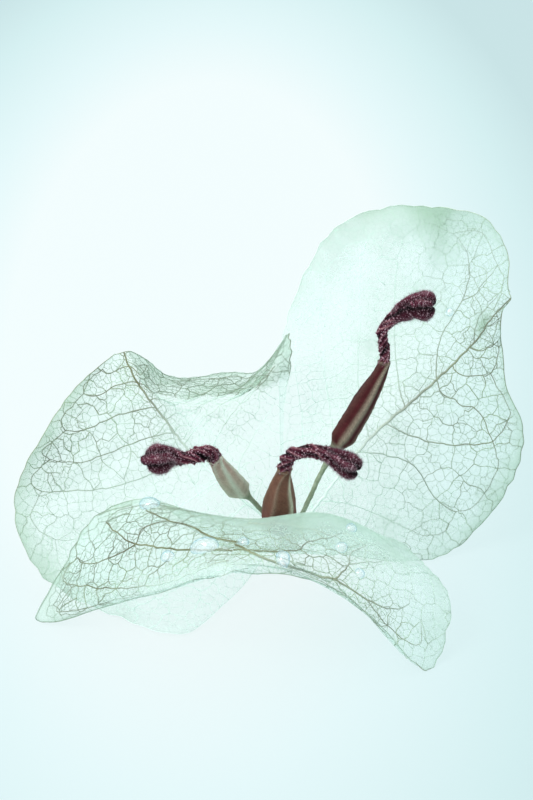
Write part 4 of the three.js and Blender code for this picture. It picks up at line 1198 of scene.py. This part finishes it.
def petal(axis, zones, n, lobe, seed):
    """One petal: a frilled strand that twists up the neck and swells into a lobe of the head.

    Gives its points, their directions outwards, its marks, and how likely hairs are."""
    clock, neck_size, head_size, head_offset, splay, end, ball = lobe
    _, neck_at, head_at = zones
    tip = axis.last + end
    station = np.linspace(neck_at - 0.12, tip, PETAL_RINGS)
    middle, radius, twist, side, other = axis.at(station)
    closing = np.sqrt(np.clip(1 - (1 - np.clip((tip - station) / 0.8, 0, 1)) ** 2, 0.0004, 1))
    in_head = smoothstep(station, head_at - 0.5, head_at + 0.6)
    in_neck = 1 - in_head
    into_head = np.clip((station - head_at) / (tip - head_at), 0, 1)
    rough_run = station * 1.9 + 2.1 * n
    neck_now = neck_size * (1 + 0.22 * np.sin(rough_run) + 0.1 * np.sin(2.3 * rough_run))
    head_now = head_size * (0.86 + 0.2 * np.sin(np.pi * into_head) ** 2
                            - ball * (1 - smoothstep(into_head, 0.1, 0.55)))
    size = radius * (0.9 * neck_now * in_neck + head_now * in_head) * closing
    head_off = head_offset * (0.6 + 0.4 * closing) + splay * into_head ** 2
    offset = radius * (0.88 * (1 - neck_now) * in_neck + head_off * in_head)
    turn = clock_phase(axis, head_at + 0.8, clock) + 2 * np.pi * STRAND_TWIST * twist \
        + 0.4 * np.sin(1.3 * rough_run) * in_neck
    ray, tangent = rays(turn, side, other), rays(turn, other, -side)
    centre = middle + ray * offset[:, None]

    theta = around(PETAL_SIDES)
    away = np.abs((theta + np.pi) % (2 * np.pi) - np.pi)
    run = run_along(centre)
    wander = 2 * np.pi * run / FRILL_PITCH + 1.7 * n + 1.4 * np.sin(run * 2.3 + n)
    ripple = (0.5 + 0.5 * np.sin(wander)) ** 2.5
    strong = 0.5 + 0.5 * np.sin(run * 1.7 + 2.6 * n)
    frill = np.exp(-(away / FRILL_WIDTH) ** 2) \
        * ((0.12 + 0.55 * ripple * strong) * in_neck + 0.05 * in_head)[:, None]
    grooves = 0.07 * np.abs(np.sin(2.5 * theta + 0.9 * np.sin(run[:, None] * 0.9 + n)))
    reach = size[:, None] * (0.97 + frill + grooves)
    way_out = np.cos(theta)[None, :, None] * ray[:, None] \
        + BREADTH * np.sin(theta)[None, :, None] * tangent[:, None]
    skin = (centre[:, None] + reach[..., None] * way_out).reshape(-1, 3)
    out = way_out.reshape(-1, 3)
    grains = grains_at(skin, GRAIN_SIZE, seed + n)
    wrinkles = roughness_at(skin, WRINKLE_SIZE, seed + n)
    calm = np.repeat(np.minimum(1, size / 0.3), PETAL_SIDES)
    skin += out * ((grains * GRAIN_HEIGHT + wrinkles * WRINKLE_HEIGHT) * calm)[:, None]

    # outer: 1 on a strand's face turned away from the flower's middle, 0 on the face turned in; the
    # petals' material paints shade where it is low and highlight where it is high.
    outer = np.cos(theta)[None, :] * np.ones(PETAL_RINGS)[:, None]
    # edge: the frill edges, which the petals' material paints paler, partly as highlight.
    edge = np.exp(-(away / EDGE_WIDTH) ** 2) \
        * ((0.3 + 0.7 * strong) * (1 - 0.75 * in_head))[:, None]
    likely = np.clip(outer, 0, 1) ** 2 * (0.1 + in_head)[:, None]
    marks = padded(0.5 + 0.5 * outer), padded(edge), padded(grains)
    return np.concatenate([skin, centre[:1], centre[-1:]]), out, marks, likely.ravel()


def grow_hairs(name, roots, outward, likely, seed):
    """Short fine hairs standing off the petals, thickest on the head."""
    rng = np.random.default_rng(seed)
    picks = rng.choice(len(roots), HAIRS, p=likely / likely.sum(), replace=False)
    way = unit(outward[picks] + rng.normal(0, 0.45, (HAIRS, 3)))
    length = rng.uniform(0.14, 0.42, HAIRS)
    bend = rng.normal(0, 1, (HAIRS, 3))
    root = roots[picks] - outward[picks] * 0.02
    lines = [np.array([a, a + w * l * 0.55, a + w * l + b * l * 0.12])
             for a, w, l, b in zip(root, way, length, bend)]
    points, faces = tubes(lines, [HAIR_RADII] * HAIRS, 3)
    make_piece(name + "_hairs", points, faces, HAIR, name)


def make_flower(name, stations, zones, ribs, lobes, finish, seed):
    """Pedicel and ribbed tube, the petals' twisted strands and lobes, and their hairs."""
    axis = Axis(stations)
    make_tube(name, axis, zones, ribs, finish, seed)
    petals = [petal(axis, zones, n, lobe, seed) for n, lobe in enumerate(lobes)]
    points, outward, marks, likely = zip(*petals)
    faces = []
    for n in range(len(lobes)):
        faces += wrapped(PETAL_RINGS, PETAL_SIDES, n * len(points[0]))
    piece = make_piece(name + "_petals", np.concatenate(points), faces, PETALS, name)
    for k, title in enumerate(("outer", "edge", "grains")):
        add_attribute(piece, title, np.concatenate([mark[k] for mark in marks]))
    roots = np.concatenate([skin[:-2] for skin in points])
    grow_hairs(name, roots, np.concatenate(outward), np.concatenate(likely), seed)


# Zones: the stations where the tube, the neck and the head start.
# Ribs: turns further than the stations say, sharpness, paleness of each, and of the mouth.
# Lobes: where each lies in the head (0 up, 90 nearest the viewer, 180 down), its size in the neck
# and in the head, how far off the middle, how far it splays at its end, how far past the last
# station it ends, and how much slighter it starts.
make_flower(
    "flower_right", RIGHT_FLOWER, (2.9, 6, 9), (-0.05, 1.3, (0.6, 0.5, 0.3, 0.1, 1), 0.5),
    [(10, 0.5, 0.58, 0.26, 0.06, 0, -0.25), (148, 0.46, 0.5, 0.62, 0.06, -0.1, 0.3),
     (160, 0.54, 0.66, 0.5, 0, -1.6, -0.1), (235, 0.4, 0.46, 0.4, 0.1, -0.3, 0.1),
     (300, 0.36, 0.5, 0.3, 0, -0.2, 0.1), (55, 0.3, 0.46, 0.34, 0, -0.2, 0.05)],
    tube_material("right tube", (0.05, 0.008, 0.01), (0.062, 0.012, 0.014), (0.24, 0.2, 0.15)), 1)
make_flower(
    "flower_left", LEFT_FLOWER, (2.9, 6.2, 9.6), (0, 1.6, (0.8, 0.6, 0.5, 0.35, 0.8), 0.5),
    [(15, 0.5, 0.43, 0.52, 0.02, -0.25, 0.15), (170, 0.5, 0.45, 0.52, 0.02, -0.35, 0.2),
     (90, 0.4, 0.36, 0.48, -0.38, 0.15, -0.15), (235, 0.36, 0.42, 0.42, 0, -0.3, 0.1),
     (300, 0.4, 0.45, 0.4, 0, -0.25, 0.1)],
    tube_material("left tube", (0.42, 0.31, 0.25), (0.46, 0.46, 0.36), (0.6, 0.66, 0.54)), 2)
make_flower(
    "flower_middle", MIDDLE_FLOWER, (1.6, 5.2, 8.8), (0.06, 6, (0.5, 0.3, 0.2, 0.15, 1), 0.15),
    [(10, 0.5, 0.5, 0.38, -0.04, -0.3, 0), (168, 0.46, 0.45, 0.5, 0.08, -0.2, 0.15),
     (90, 0.36, 0.33, 0.46, 0, -0.7, 0), (230, 0.38, 0.42, 0.4, 0.1, -0.4, 0.1),
     (300, 0.4, 0.46, 0.36, 0, -0.4, 0.1)],
    tube_material("middle tube", (0.15, 0.07, 0.048), (0.13, 0.026, 0.028), (0.5, 0.5, 0.38)), 3)


def make_peduncle():
    """The short stalk and the swollen heart that bracts and flowers grow from."""
    rings, sides = 70, 48
    share = np.linspace(0, 1, rings)
    spine = spline(np.array(PEDUNCLE, float), share)
    way = unit(np.gradient(spine, axis=0))
    heart_angles = np.linspace(np.pi, np.pi / 2 - 0.6, 24)[:-1]
    radius = PEDUNCLE_RADIUS * (0.86 + 0.14 * smoothstep(share, 0.8, 1)) \
        + 0.35 * np.exp(-((share - 0.12) / 0.12) ** 2)
    stations = [(np.array(HEART) + way[0] * HEART_RADIUS * math.cos(a), way[0],
                 HEART_RADIUS * math.sin(a)) for a in heart_angles]
    stations += [(spine[k], way[k], radius[k]) for k in range(rings)
                 if np.linalg.norm(spine[k] - HEART) > HEART_RADIUS * 0.9]
    angle = around(sides)
    side, points = np.array([1.0, 0, 0]), []
    for at, ahead, thick in stations:
        side = unit(side - ahead * side.dot(ahead))
        ray = rays(angle, side, np.cross(ahead, side))
        reach = max(thick, 0.02) * (1 + 0.05 * np.cos(7 * angle + at[2]))
        points.append(at + reach[:, None] * ray)
    points = np.concatenate(points)
    points += unit(points - points.mean(0)) * (roughness_at(points, 0.5, 9) * 0.04)[:, None]
    points = np.concatenate([points, stations[0][0][None], stations[-1][0][None]])
    faces = wrapped(len(stations), sides)
    make_piece("peduncle_bark", points, faces, STALK, "peduncle")


make_peduncle()


# ---------------------------------------------------------------------------- water
DROP_TOP, DROP_BOTTOM = 0.2, 0.18  # above the middle of the paper, at the drop's edge


def make_drop(number, blade, row, column, length, width, height):
    """A clear drop whose underside follows the paper that it lies on."""
    rings, sides = 14, 40
    centre, beside = blade.to_flat(np.array([[row, column], [row, column + 0.08]]))
    across = unit(beside - centre)
    along = np.array([-across[1], across[0]])
    angle = around(sides)
    lobe = 1 + 0.06 * np.sin(2 * angle + number) + 0.04 * np.sin(3 * angle + 2 * number)
    spots, rise = [centre], [1.0]
    for share in np.sin(np.linspace(0, np.pi / 2, rings + 1))[1:]:
        for a, bulge in zip(angle, lobe):
            reach = share * bulge * 0.96
            spots.append(centre + across * (reach * length / 2 * math.cos(a))
                         + along * (reach * width / 2 * math.sin(a)))
            rise.append(math.sqrt(max(1 - share ** 2, 0)) ** 0.9)
    places = blade.to_places(spots)
    base, facing = blade.surface(places), blade.facing(places, blade.surface)
    top = base + facing * (DROP_TOP + height * np.array(rise)[:, None])
    bottom = base + facing * DROP_BOTTOM
    count, turns = len(spots), [(k, (k + 1) % sides) for k in range(sides)]
    dome = [[0, 1 + a, 1 + b] for a, b in turns]
    for inner in range(1, 1 + (rings - 1) * sides, sides):
        dome += [[inner + a, inner + sides + a, inner + sides + b, inner + b] for a, b in turns]
    outer = 1 + (rings - 1) * sides
    faces = dome + [[count + k for k in face[::-1]] for face in dome]
    faces += [[outer + a, count + outer + a, count + outer + b, outer + b] for a, b in turns]
    make_piece(f"drop_{number}_water", np.concatenate([top, bottom]), faces, WATER,
               f"drop_{number}")


for k, (on, *drop) in enumerate(DROPS):
    make_drop(k + 1, FRONT if on == "front" else RIGHT, *drop)


# ---------------------------------------------------------------------------- stage
FLOOR_REACH = 3.0  # metres
GLOW_SCALE, GLOW_SHIFT = (16.7, 5.55, 1.0), (0.167, -0.389, 0.0)  # of the floor's painted pool of light


def add_to_scene(name, data):
    holder = bpy.data.objects.new(name, data)
    bpy.context.scene.collection.objects.link(holder)
    return holder


def place_camera():
    camera = bpy.data.cameras.new("camera")
    camera.lens, camera.sensor_width = FOCAL_LENGTH, SENSOR_WIDTH
    camera.clip_start, camera.clip_end = 0.005, 20
    holder = add_to_scene("camera", camera)
    at = laid_down([[*VIEW_CENTRE, CAMERA_DISTANCE]])[0]
    axes = [Vector(laid_down([p])[0] - laid_down([(0, 0, 0)])[0]).normalized()
            for p in ((1, 0, 0), (0, 1, 0), (0, 0, 1))]
    holder.matrix_world = Matrix.Translation(at) @ Matrix(axes).transposed().to_4x4()
    bpy.context.scene.camera = holder


def lay_floor():
    """A plain floor that glows like a light table: a painted pool of light, brightest round the
    bloom and darker and more cyan towards its edges, which also keeps the shadows cast on it faint.
    """
    mesh = bpy.data.meshes.new("floor")
    corners = (-1, -1), (1, -1), (1, 1), (-1, 1)
    mesh.from_pydata([(x * FLOOR_REACH, y * FLOOR_REACH, 0) for x, y in corners], [], [range(4)])
    material, tree = new_material("floor")
    place = tree.nodes.new("ShaderNodeTexCoord")
    stretched = node(tree, "ShaderNodeMapping", in_Scale=GLOW_SCALE, in_Location=GLOW_SHIFT)
    falling = node(tree, "ShaderNodeTexGradient", gradient_type="SPHERICAL")
    tree.links.new(place.outputs["Object"], stretched.inputs["Vector"])
    tree.links.new(stretched.outputs[0], falling.inputs["Vector"])
    # Painted pool of light: the glow is brightest round the bloom and falls off, darker and more
    # cyan, towards the edges; the base colour is weak, so shadows cast on the floor stay faint.
    glow = ramp(tree, falling.outputs["Fac"], (0.0, (0.45, 0.6, 0.615)), (0.17, (0.52, 0.68, 0.69)),
                (0.38, (0.615, 0.74, 0.752)), (0.54, (0.7, 0.77, 0.775)))
    body = node(tree, "ShaderNodeBsdfPrincipled", in_Roughness=0.9, in_Emission_Strength=1.08)
    tree.links.new(glow, body.inputs["Emission Color"])
    tree.links.new(mixed(tree, "MULTIPLY", 1.0, glow, (0.1, 0.1, 0.1)), body.inputs["Base Color"])
    put_on(tree, body)
    mesh.materials.append(material)
    add_to_scene("floor", mesh)


def softbox(name, place, aim, size, power):
    light = bpy.data.lights.new(name, "AREA")
    light.shape, light.size, light.size_y, light.energy = "RECTANGLE", size, size, power
    holder = add_to_scene(name, light)
    holder.location = place
    holder.rotation_euler = (Vector(aim) - Vector(place)).to_track_quat("-Z", "Y").to_euler()


def light_studio():
    world = bpy.data.worlds.new("studio")
    bpy.context.scene.world = world
    world.use_nodes = True
    background = world.node_tree.nodes["Background"]
    background.inputs["Color"].default_value = (0.9, 0.99, 1.0, 1)
    background.inputs["Strength"].default_value = 0.85
    softbox("overhead", (0.1, 0.15, 0.6), (0, 0, 0.01), 0.7, 1.4)
    softbox("key", (-0.35, -0.25, 0.5), (0, 0, 0.02), 0.35, 3.0)


place_camera()
lay_floor()
light_studio()
bpy.context.scene.view_settings.view_transform = "Standard"
